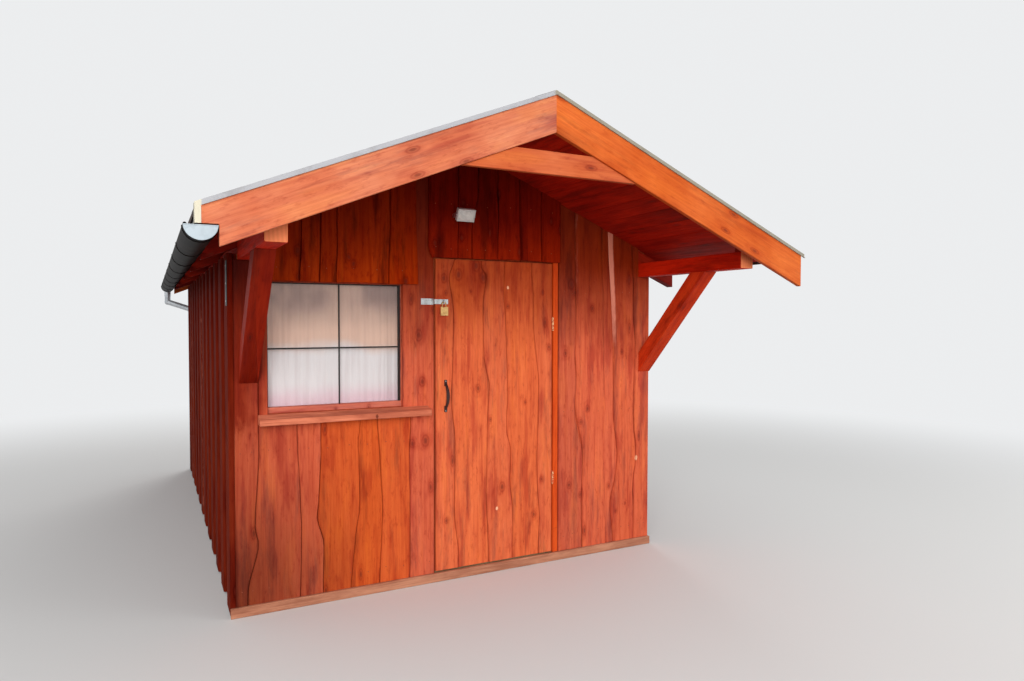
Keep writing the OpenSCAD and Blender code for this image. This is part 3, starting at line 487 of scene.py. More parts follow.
# The boards over the window and the door are darker than the wall, partly their stain and partly
# painted shade under the roof
over_boards = timber("over_boards", (176, 57, 9), (154, 44, 6), fade_and_shade=(1.8, 2.3), wild=0.1,
                     knots=HEAD_KNOTS, figure=1.5, shine=0.05)
outer_boards = timber("outer_boards", (150, 33, 5), (126, 20, 4), fade_and_shade=(2.05, 2.45), wild=0.15,
                      knots=GABLE_KNOTS, figure=1.3, shine=0.05)
door_boards = timber("door_boards", (230, 112, 68), (180, 72, 32), fade_and_shade=(1.35, 2.1), wild=0.05,
                     knots=DOOR_KNOTS, spots=DOOR_SPOTS)
red_boards = timber("red_boards", (122, 38, 18), (108, 26, 10), fade_and_shade=(0.8, 1.9), rough=0.75,
                    shine=0.03, lined=True)
soffit_boards = timber("soffit_boards", (206, 41, 13), (180, 31, 9), ALONG_Y, lined=True)
batten_timber = timber("batten_timber", (224, 86, 30), (208, 72, 22), fade_and_shade=(1.5, 2.2), wild=0.05,
                       figure=0.6)
floor_timber = bare_timber("floor_timber", (178, 142, 104), (150, 116, 84))
cap_zinc = metal("cap_zinc", (186, 197, 203), (166, 176, 182), 0.5, 0.1)
dark_iron = metal("dark_iron", (70, 48, 46), (92, 58, 48), 0.5, 0.5, 90.0)
nail_steel = metal("nail_steel", (150, 70, 44), (110, 52, 34), 0.5, 0.3, 90.0)
bright_steel = metal("bright_steel", (214, 216, 216), (176, 172, 168), 0.28, scale=120.0)
lens_glass = metal("lens_glass", (236, 236, 230), (206, 204, 198), 0.2, 0.1, 60.0)
bar_metal = metal("bar_metal", (44, 42, 40), (60, 54, 48), 0.55, 0.2, 80.0)
roof_felt = felt()
curtain_net = net()

# Materials and eased edges of the CAD nodes that are shown as they are

dress(bare_timber("bearer_timber", (160, 126, 92), (128, 98, 72)), 0.002, "base_bearers")
dress(bare_timber("rail_timber", (198, 136, 106), (172, 112, 86)), 0.004, "base_rail")
dress(bare_timber("sill_timber", (226, 132, 98), (196, 106, 78), SILL_KNOTS), 0.004, "window_sill")
dress(timber("posts_timber", (180, 52, 24), (154, 40, 18)), 0.004, "corner_posts")
dress(timber("inner_boards", (196, 96, 56), (170, 72, 40)), 0.003, "wall_studs", "door_ledges")
# The beams' sawn ends are brightened as painted light, above their grain's own colour
dress(timber("beams_timber", (226, 45, 12), (206, 37, 10), ALONG_Y,
             ends=((255, 148, 98), (-0.2, 2.12))), 0.004, "eave_beams")
# The left brace is darker with painted shade
dress(timber("brace_timber", (216, 66, 26), (192, 53, 19), BRACE_SLOPE,
             painted_shades=((-1.2, 0.5, -2.0, -1.0, (0.56, 0.42, 0.40)),)), 0.004,
      "left_brace", "right_brace")
dress(timber("rafter_left", (176, 40, 18), (146, 28, 12), LEFT_SLOPE), 0.003,
      "left_rafters", "front_verge_rafters")
dress(timber("rafter_right", (176, 40, 18), (146, 28, 12), RIGHT_SLOPE), 0.003, "right_rafters")
dress(timber("barge_left", (215, 130, 94), (206, 112, 76), LEFT_SLOPE, wild=0.25, rough=0.5,
             figure=0.9), 0.003, "front_barge_left")
dress(timber("barge_right", (219, 110, 50), (204, 92, 35), RIGHT_SLOPE, wild=0.2, rough=0.5,
             figure=0.6, shine=0.08), 0.003, "front_barge_right", "rear_barge")
dress(timber("collar_timber", (208, 109, 65), (198, 96, 52), ALONG_X, wild=0.2, rough=0.5,
             figure=0.8), 0.003, "collar_tie")
dress(timber("frame_timber", (212, 122, 98), (200, 108, 84), ALONG_X, wild=0.05,
             knots=RAIL_KNOTS), 0.003, "window_frame")
dress(clear_glass(), 0.0, "window_glass")
dress(edging(), 0.0005, "front_verge_trim", "rear_verge_trim")
dress(metal("drip_metal", (92, 84, 80), (70, 60, 56), 0.5, 0.4), 0.0005, "eave_drips")
# The gutter's near-black colour and its bands are painted reflections of dark surroundings, darker
# than the zinc itself
zinc = metal("zinc", (18, 14, 12), (13, 11, 10), 0.42, 0.0, reflected_bands=(46, 37, 32), shine=0.05)
dress(zinc, 0.0, "gutter")
dress(zinc, 0.0005, "gutter_brackets")
dress(metal("pipe_zinc", (214, 218, 222), (170, 174, 178), 0.3, 0.6), 0.0, "downpipe")
dress(metal("plate_metal", (58, 58, 58), (72, 58, 52), 0.5, 0.5, 60.0), 0.0005, "corner_plate")
dress(metal("hinge_steel", (206, 72, 30), (170, 56, 26), 0.5, 0.0, 90.0, worn=(248, 214, 160)),
      0.0004, "door_hinge_leaves", "frame_hinge_leaves")
dress(metal("brass", (236, 190, 124), (196, 140, 82), 0.32, scale=120.0), 0.0, "padlock")
dress(metal("lamp_metal", (222, 220, 216), (200, 196, 190), 0.45, 0.15, 80.0), 0.0012, "floodlight")
dress(bright_steel, 0.0006, "hasp_plate", "hasp_strap")
dress(bright_steel, 0.0005, "floodlight_bracket")
dress(bright_steel, 0.0, "curtain_rod")


# Shapes


def line(*points, ripple=0.0, key=0.0):
    """A smooth line through (s, a) points, from s to a, with a fine unevenness."""
    points = sorted(points)
    slopes = []
    for i in range(len(points)):
        before, after = points[max(i - 1, 0)], points[min(i + 1, len(points) - 1)]
        slopes.append((after[1] - before[1]) / (after[0] - before[0]) if after != before else 0.0)

    def place(s):
        wave = ripple * (noise.noise((s * 2.7, key, 0.3)) + 0.6 * noise.noise((s * 11.0, key, 7.1)))
        if s <= points[0][0]:
            return points[0][1] + wave
        if s >= points[-1][0]:
            return points[-1][1] + wave
        i = max(n for n in range(len(points) - 1) if points[n][0] <= s)
        (s0, a0), (s1, a1) = points[i], points[i + 1]
        span = s1 - s0
        t = (s - s0) / span
        value = ((2 * t**3 - 3 * t**2 + 1) * a0 + (t**3 - 2 * t**2 + t) * span * slopes[i]
                 + (3 * t**2 - 2 * t**3) * a1 + (t**3 - t**2) * span * slopes[i + 1])
        return value + wave

    return place


def lines(key, ripple, *seams):
    """Several lines, their keys counted up."""
    return [line(*points, ripple=ripple, key=key + n) for n, points in enumerate(seams)]


def call(value, at):
    """value may be a number or a function of the place."""
    return value(at) if callable(value) else value


def shifted(edge, distance):
    return lambda s: call(edge, s) + distance


def chamfered(x0, y0, x1, y1, c):
    """The outline of a rectangle with its corners cut off."""
    return [(x0 + c, y0), (x1 - c, y0), (x1, y0 + c), (x1, y1 - c),
            (x1 - c, y1), (x0 + c, y1), (x0, y1 - c), (x0, y0 + c)]


class Plane:
    """Where a layer of boards lies: an origin, and the ways across, out and along."""

    def __init__(self, origin, across, out, along=(0, 0, 1)):
        self.origin, self.across, self.out, self.along = map(Vector, (origin, across, out, along))

    def at(self, a, s, d):
        return self.origin + self.across * a + self.along * s + self.out * d


def facing_front(y):
    return Plane((0, y, 0), (1, 0, 0), (0, -1, 0))


front, outer = facing_front(FRONT_BACK), facing_front(FRONT_FACE)


def put(name, data):
    """Puts an object into the scene."""
    made = bpy.data.objects.new(name, data)
    bpy.context.scene.collection.objects.link(made)
    return made


def add_piece(name, mesh, material, slot, *replaces, body="frame"):
    """Puts a mesh into the scene as a piece that rides on a body."""
    mesh.materials.append(material)
    piece = put(name, mesh)
    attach(piece, body)
    if replaces:
        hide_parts(*replaces)
    return piece


class Joined:
    """Many small closed solids gathered into one mesh."""

    # How much a board's edge darkens, from its back over its side to its face: stain gathered at
    # the edge, and painted shade where the wane slopes away
    EDGE = [0.9, 1.0, 1.0, 0.8, 0.0]

    def __init__(self, name, key):
        self.name = name
        self.points = []
        self.faces = []
        self.marks = {"seed": [], "tone": [], "edge": [], "bevel_highlight": []}
        self.chance = random.Random(key)

    def loft(self, rings, tone=0.0, edges=None, bevel_highlights=None):
        """Joins rings of points into one closed solid. The bevel highlight marks, a painted
        highlight, are one list a ring.
        """
        seed = self.chance.random()
        start = len(self.points)
        count = len(rings[0])
        none = [0.0] * count
        for r, ring in enumerate(rings):
            self.points += ring
            self.marks["seed"] += [seed] * count
            self.marks["tone"] += [tone] * count
            self.marks["edge"] += edges or none
            self.marks["bevel_highlight"] += bevel_highlights[r] if bevel_highlights else none
        for r in range(len(rings) - 1):
            low = start + r * count
            for i in range(count):
                j = (i + 1) % count
                self.faces.append((low + i, low + j, low + count + j, low + count + i))
        last = start + (len(rings) - 1) * count
        self.faces.append(tuple(range(start + count - 1, start - 1, -1)))
        self.faces.append(tuple(range(last, last + count)))

    def board(self, plane, left, right, bottom, top, back, front, wane=0.003, tone=0.0,
              step=0.07, bevel_highlight=(0.0, 0.0)):
        """A board whose edges are lines and whose ends are heights or functions of a."""
        wanes = wane if isinstance(wane, tuple) else (wane, wane)
        middle = (call(left, 0) + call(right, 0)) / 2
        s0, s1 = call(bottom, middle), call(top, middle)
        count = max(1, math.ceil((s1 - s0) / step))
        thick = front - back
        rings, bevel_highlights = [], []
        for n in range(count + 1):
            t = n / count
            s_mid = s0 + (s1 - s0) * t
            a_l, a_r = call(left, s_mid), call(right, s_mid)
            soft = min(0.02, 0.2 * (a_r - a_l))
            sides = []
            for edge, way, wide in ((a_l, 1, wanes[0]), (a_r, -1, wanes[1])):
                width = call(wide, s_mid)
                sides.append([(edge + way * 0.15 * width, back), (edge, back + 0.3 * thick),
                              (edge + way * 0.15 * width, front - 0.35 * thick),
                              (edge + way * width, front), (edge + way * (width + soft), front)])
            ring = []
            for a, d in sides[0] + [((a_l + a_r) / 2, front)] + sides[1][::-1]:
                low, high = call(bottom, a), call(top, a)
                ring.append(plane.at(a, low + (high - low) * t, d))
            rings.append(ring)
            # Painted highlight marks on the wane faces
            b_l, b_r = (call(value, s_mid) for value in bevel_highlight)
            bevel_highlights.append([0.0, b_l, b_l, b_l, 0.0, 0.0, 0.0, b_r, b_r, b_r, 0.0])
        self.loft(rings, tone, self.EDGE + [0.0] + self.EDGE[::-1], bevel_highlights)

    def row(self, plane, a0, a1, bottom, top, back, front, width, gap=0.003, wane=0.003):
        """Boards of about one width, side by side from a0 to a1."""
        count = max(1, round((a1 - a0) / width))
        self.chance.random()  # This draw isn't used, but the next ones follow from it
        seams = [a0 + (a1 - a0) * n / count + self.chance.uniform(-0.008, 0.008)
                 for n in range(1, count)]
        for left, right in zip([a0] + seams, seams + [a1]):
            self.board(plane, left + gap / 2, right - gap / 2, bottom, top, back, front, wane,
                       self.chance.uniform(-0.35, 0.35))

    def backing(self, plane, depth, width, *parts):
        """Plain boards behind cover boards. A part is its edges, bottom and top."""
        for part in parts:
            self.row(plane, *part, 0.0, depth - HAIR, width, gap=0.0015)

    def seamed(self, plane, seams, bottom, top, back, front, boards, gap=0.001):
        """Boards between given seams. boards is (tone, depth under the front, wane) each."""
        last = len(boards) - 1
        for n, (tone, sunk, wane) in enumerate(boards):
            if not isinstance(wane, tuple):
                wane = tuple(line((0.0, wane), ripple=0.9 * wane, key=7.0 * n + side)
                             for side in (1, 3))
            self.board(plane, shifted(seams[n], gap / 2 if n else 0.0),
                       shifted(seams[n + 1], -gap / 2 if n < last else 0.0), bottom,
                       top[n] if isinstance(top, list) else top, back, front - sunk, wane, tone,
                       step=0.045)

    def block(self, low, high, chamfer=0.002):
        """A box with chamfered edges, for small flat pieces."""
        (x0, y0, z0), (x1, y1, z1) = low, high
        rings = []
        for z, inset in ((z0, chamfer), (z0 + chamfer, 0.0), (z1 - chamfer, 0.0), (z1, chamfer)):
            rings.append([Vector((x, y, z)) for x, y in chamfered(
                x0 + inset, y0 + inset, x1 - inset, y1 - inset, chamfer)])
        self.loft(rings)

    def stud(self, plane, a, s, d, radius=0.003, rise=0.0012, sides=8):
        """The low round head of a nail, screw or rivet."""
        rings = []
        for share, height in ((1.0, -0.0008), (1.0, 0.35 * rise), (0.72, 0.8 * rise), (0.3, rise)):
            rings.append([plane.at(a + radius * share * math.cos(math.tau * n / sides),
                                   s + radius * share * math.sin(math.tau * n / sides),
                                   d + height) for n in range(sides)])
        self.loft(rings)

    def build(self, material, slot, *replaces, body="frame", angle=35):
        mesh = bpy.data.meshes.new(self.name)
        mesh.from_pydata([tuple(p) for p in self.points], [], self.faces)
        for name, values in self.marks.items():
            mesh.attributes.new(name, "FLOAT", "POINT").data.foreach_set("value", values)
        work = bmesh.new()
        work.from_mesh(mesh)
        bmesh.ops.recalc_face_normals(work, faces=work.faces)
        work.to_mesh(mesh)
        work.free()
        mesh.shade_smooth()
        mesh.set_sharp_from_angle(angle=math.radians(angle))
        add_piece(self.name, mesh, material, slot, *replaces, body=body)


# The front. Its seams are (height, place) points read from the photograph


def build_front_left():
    """Boards under and beside the window, on a backing of plain boards."""
    seams = [
        WALL_LEFT + 0.001,
        *lines(2, 0.003,
               ((0.07, -1.365), (0.16, -1.361), (0.38, -1.306), (0.5, -1.324), (0.9, -1.298),
                (1.03, -1.3)),
               ((0.1, -1.076), (0.37, -1.07), (0.48, -1.069), (0.89, -1.086), (1.0, -1.089)),
               ((0.06, -0.945), (0.36, -0.943), (0.42, -0.957), (0.49, -0.977), (0.6, -0.968),
                (0.87, -0.954)),
               ((0.07, -0.78), (0.37, -0.749), (0.46, -0.735), (0.52, -0.726), (0.86, -0.729),
                (0.93, -0.733), (1.02, -0.719)),
               ((0.07, -0.602), (0.37, -0.588), (0.52, -0.583), (0.85, -0.599), (1.04, -0.615))),
        line((0.06, -0.413), (0.13, -0.408), (0.5, -0.407), (0.83, -0.41), (1.09, -0.405),
             (1.125, -0.45), (1.2, -0.452), ripple=0.002, key=7),
        DOOR_LEFT - 0.003]
    wall = Joined("front_boards_left", 11)
    window_foot = WINDOW_FOOT - 0.002
    beside_beam = (WALL_LEFT, BEAM_LEFT, LEFT_BEAM_TOP, wall_top)
    over_beam = (BEAM_LEFT + 0.001, WINDOW_LEFT, LEFT_BEAM_FOOT, wall_top)
    over_window = (WINDOW_LEFT, WINDOW_RIGHT, WINDOW_HEAD, wall_top)
    wall.backing(front, LAYER, 0.125, (WALL_LEFT, WINDOW_LEFT, WALL_FOOT, LEFT_BEAM_FOOT),
                 beside_beam, over_beam, (WINDOW_LEFT, WINDOW_RIGHT, WALL_FOOT, window_foot),
                 over_window, (WINDOW_RIGHT, DOOR_LEFT, WALL_FOOT, wall_top))
    for part in (beside_beam, over_beam, over_window):
        wall.row(front, *part, LAYER, CLADDING, 0.13, gap=0.001)
    tops = [LEFT_BEAM_FOOT] + [window_foot] * 5 + [wall_top]
    wall.seamed(front, seams, WALL_FOOT, tops, LAYER, CLADDING,
                ((-0.8, 0.003, (0.008, 0.003)), (-0.45, 0.0, 0.003), (-0.2, 0.003, 0.002),
                 (0.9, 0.0005, 0.003), (1.0, 0.004, 0.002), (0.85, 0.001, 0.003),
                 (-0.45, 0.0, (0.004, 0.006))))
    wall.board(front, shifted(seams[1], 0.001), WINDOW_LEFT, window_foot,
               LEFT_BEAM_FOOT, LAYER, CLADDING, 0.003, -0.3)
    wall.build(front_boards, "front_boards", "front_wall_left")


def build_front_right():
    """Boards beside the door: two cover boards, a sunk strip and two more cover boards. The
    last is in two lengths, at the beam's foot. A painted highlight lies on the left wane faces of
    two."""
    seam_2 = line((0.1, 0.876), (0.45, 0.871), (0.76, 0.874), (0.9, 0.838), (1.035, 0.812),
                  (1.27, 0.824), (1.375, 0.811), (1.63, 0.82), (1.97, 0.813), (2.35, 0.811),
                  ripple=0.003, key=22)
    seam_3 = line((0.1, 1.076), (0.43, 1.069), (0.61, 1.057), (0.87, 1.05), (1.06, 1.07),
                  (1.26, 1.058), (1.8, 1.055), (1.98, 1.043), (2.3, 1.031), ripple=0.002, key=23)
    seam_4 = line((0.11, 1.14), (0.34, 1.117), (0.51, 1.159), (0.69, 1.179), (0.95, 1.145),
                  (1.26, 1.141), (1.54, 1.134), (1.8, 1.118), (2.06, 1.098), (2.35, 1.085),
                  ripple=0.002, key=24)
    seam_5 = line((0.22, 1.325), (0.49, 1.323), (0.67, 1.348), (0.94, 1.32), (1.26, 1.323),
                  (1.5, 1.337), (1.72, 1.314), (1.98, 1.312), (2.23, 1.299), ripple=0.003, key=25)
    wane_2 = line((0.1, 0.004), (0.9, 0.012), (1.3, 0.016), (2.3, 0.014))
    wane_3 = line((0.9, 0.003), (1.4, 0.012), (2.2, 0.022), ripple=0.003, key=33)
    wane_4 = line((0.1, 0.008), (1.25, 0.011), (1.4, 0.019), (1.9, 0.027), (2.35, 0.032),
                  ripple=0.002, key=31)
    wane_5 = line((0.9, 0.004), (1.3, 0.009), (2.0, 0.016), ripple=0.002, key=34)
    wall = Joined("front_boards_right", 12)
    beside = BEAM_RIGHT - 0.001
    wall.backing(front, LAYER, 0.14, (DOOR_RIGHT, beside, WALL_FOOT, wall_top))
    wall.backing(front, LAYER, 0.1, (beside + 0.0015, WALL_RIGHT, WALL_FOOT, RIGHT_BEAM_FOOT))
    for left, right, bottom, top, face, wane, tone, step, bevel_highlight in (
            (DOOR_RIGHT + 0.001, shifted(seam_2, -0.002), WALL_FOOT, wall_top,
             CLADDING - 0.004, (0.003, 0.004), -0.85, 0.07, 0.0),
            (seam_2, seam_3, WALL_FOOT, wall_top, CLADDING, (wane_2, wane_3), 0.05, 0.07,
             line((1.0, 0.0), (1.3, 0.2), (2.0, 0.35))),
            (shifted(seam_3, 0.002), shifted(seam_4, 0.01), WALL_FOOT, wall_top,
             LAYER + 0.003, 0.002, -0.2, 0.07, 0.0),
            (seam_4, shifted(seam_5, -0.001), WALL_FOOT, wall_top, CLADDING - 0.002,
             (wane_4, 0.006), 0.15, 0.045, line((1.36, 0.0), (1.5, 0.48), (1.9, 0.72), (2.4, 0.7))),
            (seam_5, WALL_RIGHT - HAIR, WALL_FOOT, RIGHT_BEAM_FOOT, CLADDING, (wane_5, 0.005),
             0.1, 0.07, 0.0),
            (seam_5, beside, RIGHT_BEAM_FOOT, wall_top, CLADDING, (wane_5, 0.003), 0.1, 0.07, 0.0)):
        wall.board(front, left, right, bottom, top, LAYER, face, wane, tone, step, (bevel_highlight, 0.0))
    wall.build(front_boards, "front_boards", "front_wall_right")


def build_over_door():
    wall = Joined("front_boards_over_door", 13)
    part = (DOOR_LEFT, DOOR_RIGHT, DOOR_HEAD + HAIR, wall_top)
    wall.backing(front, LAYER, 0.13, part)
    wall.row(front, *part, LAYER, CLADDING, 0.15)
    wall.build(front_boards, "front_boards", "front_wall_over_door")


def build_window_head():
    """Outer boards over the window, their lower ends cut a little unevenly."""
    low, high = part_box("window_head_boards")
    wall = Joined("window_head_planks", 14)
    foot = line((-1.3, low.z + 0.002), (-1.06, low.z + 0.004), (-0.9, low.z + 0.002),
                (-0.7, low.z + 0.0055), (-0.5, low.z + 0.001), (-0.36, low.z + 0.002))
    seams = [low.x,
             *lines(41, 0.001,
                    ((1.9, -1.074), (2.02, -1.066), (2.16, -1.060)),
                    ((1.91, -0.962), (1.98, -0.958), (2.17, -0.952)),
                    ((1.9, -0.864), (1.98, -0.861), (2.1, -0.855), (2.18, -0.855)),
                    ((1.89, -0.547), (2.04, -0.544), (2.19, -0.535))),
             line((1.89, -0.353), (2.09, -0.358), (2.23, -0.364))]
    wall.seamed(outer, seams, foot, wall_top, 0.0, high.y - low.y,
                ((0.1, 0.0, (0.003, 0.005)), (-0.2, 0.002, 0.003), (0.3, 0.0005, 0.006),
                 (0.2, 0.0025, 0.003), (1.0, 0.0, (0.006, 0.016))), gap=0.0006)
    wall.build(over_boards, "front_boards", "window_head_boards")


def build_gable():
    """Outer boards over the door, with a curved wane at the lower left."""
    low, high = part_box("gable_boards")
    wall = Joined("gable_planks", 15)
    foot = line((-0.26, low.z + 0.001), (-0.08, low.z + 0.005), (0.1, low.z + 0.003),
                (0.3, low.z + 0.010), (0.45, low.z + 0.008), (0.6, low.z + 0.001),
                (0.68, low.z + 0.004))
    seams = [line((low.z, low.x + 0.026), (2.086, low.x + 0.01), (2.135, low.x),
                  (2.2, low.x + 0.001), (2.55, low.x + 0.002)),
             line((2.06, -0.09), (2.44, -0.084), (2.6, -0.081), ripple=0.004, key=51),
             *lines(52, 0.003,
                    ((2.12, 0.009), (2.29, 0.015), (2.47, 0.053)),
                    ((2.19, 0.195), (2.36, 0.201), (2.49, 0.195)),
                    ((2.08, 0.367), (2.26, 0.36), (2.43, 0.353)),
                    ((2.08, 0.53), (2.3, 0.52))),
             high.x - 0.001]
    wall.seamed(outer, seams, foot, wall_top, 0.0, high.y - low.y,
                ((0.2, 0.0, (0.012, 0.004)), (-0.3, 0.003, 0.004), (0.4, 0.0005, 0.006),
                 (0.0, 0.004, 0.003), (-0.3, 0.001, 0.006), (0.5, 0.0, (0.004, 0.009))), gap=0.0015)
    wall.build(outer_boards, "front_boards", "gable_boards")


def build_batten():
    """Batten on the hinge side, pieced out near its foot."""
    low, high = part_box("door_jamb_batten")
    batten = Joined("jamb_batten_planks", 16)
    splice = 0.22
    for bottom, top, tone in ((low.z, splice, -0.2), (splice + 0.002, high.z, 0.2)):
        batten.board(front, low.x, high.x, bottom, top, 0.0, high.y - low.y, tone=tone)
    batten.build(batten_timber, "front_boards", "door_jamb_batten")


def build_door():
    """Five waney boards on a plain inner layer."""
    low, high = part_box("door_leaf")
    leaf = Joined("door_planks", 17)
    plane = facing_front(high.y)
    inner = 0.008
    seams = [low.x,
             *lines(61, 0.001,
                    ((0.09, -0.077), (0.2, -0.082), (0.37, -0.103), (0.54, -0.106),
                     (0.78, -0.102), (0.95, -0.105), (1.06, -0.12), (1.2, -0.126), (1.32, -0.12),
                     (1.64, -0.112), (1.75, -0.113), (1.83, -0.125), (1.9, -0.138),
                     (1.97, -0.135), (2.04, -0.104)),
                    ((0.09, 0.138), (0.38, 0.127), (0.52, 0.121), (0.87, 0.127), (1.04, 0.131),
                     (1.15, 0.137), (1.25, 0.143), (1.31, 0.127), (1.41, 0.106), (1.51, 0.101),
                     (1.79, 0.098), (1.88, 0.112), (1.96, 0.118), (2.01, 0.084)),
                    ((0.08, 0.317), (0.42, 0.315), (0.57, 0.298), (0.71, 0.299), (0.82, 0.298),
                     (0.91, 0.272), (1.03, 0.271), (1.14, 0.278), (1.31, 0.276), (1.5, 0.268),
                     (1.7, 0.261), (1.8, 0.25), (1.93, 0.251), (2.03, 0.255)),
                    ((0.14, 0.515), (0.33, 0.523), (0.55, 0.506), (0.84, 0.505), (1.02, 0.513),
                     (1.13, 0.514), (1.27, 0.515), (1.4, 0.499), (1.54, 0.482), (1.64, 0.472),
                     (1.84, 0.471), (1.94, 0.463), (2.03, 0.459))),
             high.x]
    leaf.backing(plane, inner, 0.12, (low.x, high.x, low.z, high.z))
    leaf.seamed(plane, seams, low.z, high.z, inner, high.y - low.y,
                ((-0.1, 0.0, (0.003, 0.003)), (0.15, 0.0025, 0.002), (-0.25, 0.0, 0.004),
                 (0.25, 0.0025, 0.002), (-0.15, 0.0005, (0.004, 0.003))))
    leaf.build(door_boards, "door_boards", "door_leaf", body="door")


# The other walls, the roof and the floor


def build_covered_wall(node, plane, length, depth, top, key, parts):
    """A side or rear wall: plain inner boards, and waney cover boards over their joints."""
    cover_width, pitch = 0.2, 0.37
    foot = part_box(node)[0].z
    layer = depth / 2
    wall = Joined(node + "_planks", key)
    for a0, a1, high in parts:
        wall.row(plane, a0, a1, foot, high, 0.0, layer - HAIR, 0.19, gap=0.002)
    count = round((length - cover_width) / pitch) + 1
    step = (length - cover_width) / (count - 1)
    for n in range(count):
        left, right = n * step, n * step + cover_width
        edges = []
        for a, at_end, way, own in ((left, n == 0, 1, 0), (right, n == count - 1, -1, 40)):
            inset = 0.0 if n in (0, count - 1) else 0.004
            edges.append(line((0.0, a + way * inset), ripple=0.0 if at_end else 0.005,
                              key=key + n + own))
        # Some cover boards get a painted highlight on their left wane
        wall.board(plane, *edges, foot + 0.001, top, layer, depth, (0.012, 0.010),
                   wall.chance.uniform(-0.7, 0.5), step=0.1,
                   bevel_highlight=(wall.chance.choice((0.0, 0.0, 0.35)), 0.0))
    wall.build(red_boards, "red_boards", node)


def build_side_walls():
    for side, node, key, corner in ((-1, "left_wall", 71, CLADDING), (1, "right_wall", 72, 0.0)):
        low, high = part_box(node)
        start = (high.x, low.y, 0) if side < 0 else (low.x, high.y, 0)
        length, top = high.y - low.y, high.z - HAIR
        build_covered_wall(node, Plane(start, (0, -side, 0), (side, 0, 0)), length, high.x - low.x,
                           top, key, ((corner, length - corner, top),))


def build_rear_wall():
    low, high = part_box("rear_wall")

    def top(a):
        """Up to the roof boards, or to an eave beam where one passes through."""
        x = high.x - a
        if x > BEAM_RIGHT:
            return RIGHT_BEAM_FOOT
        if BEAM_LEFT - BEAM < x < BEAM_LEFT:
            return LEFT_BEAM_FOOT
        return wall_top(x)

    right, left = high.x - BEAM_RIGHT, high.x - BEAM_LEFT
    parts = ((0.0, right, RIGHT_BEAM_FOOT),
             (right + 0.001, left - 0.001, lambda a: wall_top(high.x - a)),
             (left + 0.001, high.x - low.x, LEFT_BEAM_FOOT))
    build_covered_wall("rear_wall", Plane((high.x, low.y, 0), (-1, 0, 0), (0, 1, 0)),
                       high.x - low.x, high.y - low.y, top, 73, parts)


def slopes(part):
    """Each roof slope: its name and side, a node's ends in y, and the run to its eave."""
    for name, side in (("left_", -1), ("right_", 1)):
        low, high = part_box(name + part)
        run = abs((low.x if side < 0 else high.x) - RIDGE_X) / math.cos(PITCH)
        yield name, side, low.y + HAIR, high.y - HAIR, run


def slope_plane(side):
    """The roof boards' top: across runs down the slope, along runs to the rear."""
    return Plane((RIDGE_X, 0, DECK_TOP), (side * math.cos(PITCH), 0, -math.sin(PITCH)),
                 (side * math.sin(PITCH), 0, math.cos(PITCH)), (0, 1, 0))


def build_roof_boards():
    thick = (DECK_TOP - DECK_UNDER) * math.cos(PITCH)
    for name, side, y0, y1, run in slopes("roof_boards"):
        deck = Joined(name + "soffit_planks", 81 + side)
        # Square ends at the ridge and the eave stay inside the CAD boards' plumb cuts
        start, end = 0.012, run - 0.012
        count = round((end - start) / 0.15)
        width = (end - start) / count
        for n in range(count):
            a = start + width * n
            deck.board(slope_plane(side), a + 0.001, a + width - 0.001, y0, y1,
                       0.0001 - thick, -HAIR, tone=deck.chance.uniform(-0.5, 0.5), step=0.8)
        deck.build(soffit_boards, "red_boards", name + "roof_boards")


def build_shingles():
    """Courses of three-tab shingles, each tab a wedge over the course below."""
    course, tab, slot_gap, lift = 0.14, 0.333, 0.008, 0.008
    for name, side, y0, y1, run in slopes("shingles"):
        plane = slope_plane(side)
        eave = run - 0.004
        roof = Joined(name + "shingle_tabs", 91 + side)
        roof.board(plane, 0.006, eave - 0.004, y0, y1, HAIR, 0.6 * lift, 0.001, step=3.0)
        for n in range(math.ceil(eave / course)):
            foot = eave - n * course
            head = max(foot - course - 0.01, 0.006)
            if foot - head < 0.03:
                continue
            edge = y0 - tab * (0.5 if n % 2 else 0.0)
            while edge < y1:
                s0, s1 = max(edge + slot_gap / 2, y0), min(edge + tab - slot_gap / 2, y1)
                edge += tab
                if s1 - s0 < 0.02:
                    continue
                sag = roof.chance.uniform(0.0, 0.003)
                nose, tip = 2 * lift - 0.0006 - sag / 3, foot - sag
                section = ((head, 0.001), (head, lift), (tip - 0.002, nose), (tip, nose - 0.0015),
                           (tip, 0.001))
                roof.loft([[plane.at(a, s, d) for a, d in section] for s in (s0, s1)],
                          roof.chance.choice((0.0, 0.0, 0.3, 0.9)))
        roof.build(roof_felt, "roof_felt", name + "shingles", angle=20)


def build_ridge():
    """Folded caps that overlap along the ridge."""
    low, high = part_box("ridge_cap")
    leg = (high.x - low.x) / 2
    fold = 0.08 * leg
    ridge = Joined("ridge_caps", 95)
    bottom = high.z - 0.004
    show, lap, thick, lift = 0.145, 0.04, 0.0022, 0.0017
    y = low.y + HAIR
    while y < high.y - 0.02:
        rings = []
        for at, raised in ((y, lift), (min(y + show + lap, high.y - HAIR), 0.0)):
            lower, upper = [], []
            for x in (-leg, -fold, 0.0, fold, leg):
                drop = max(abs(x), 0.6 * fold) * RISE
                lower.append(Vector((RIDGE_X + x, at, bottom + raised / 2 - drop)))
                upper.append(Vector((RIDGE_X + x, at, bottom + thick + raised - drop)))
            rings.append(lower + upper[::-1])
        ridge.loft(rings, ridge.chance.choice((0.0, 0.0, 0.4)))
        y += show
    ridge.build(roof_felt, "roof_felt", "ridge_cap", angle=20)


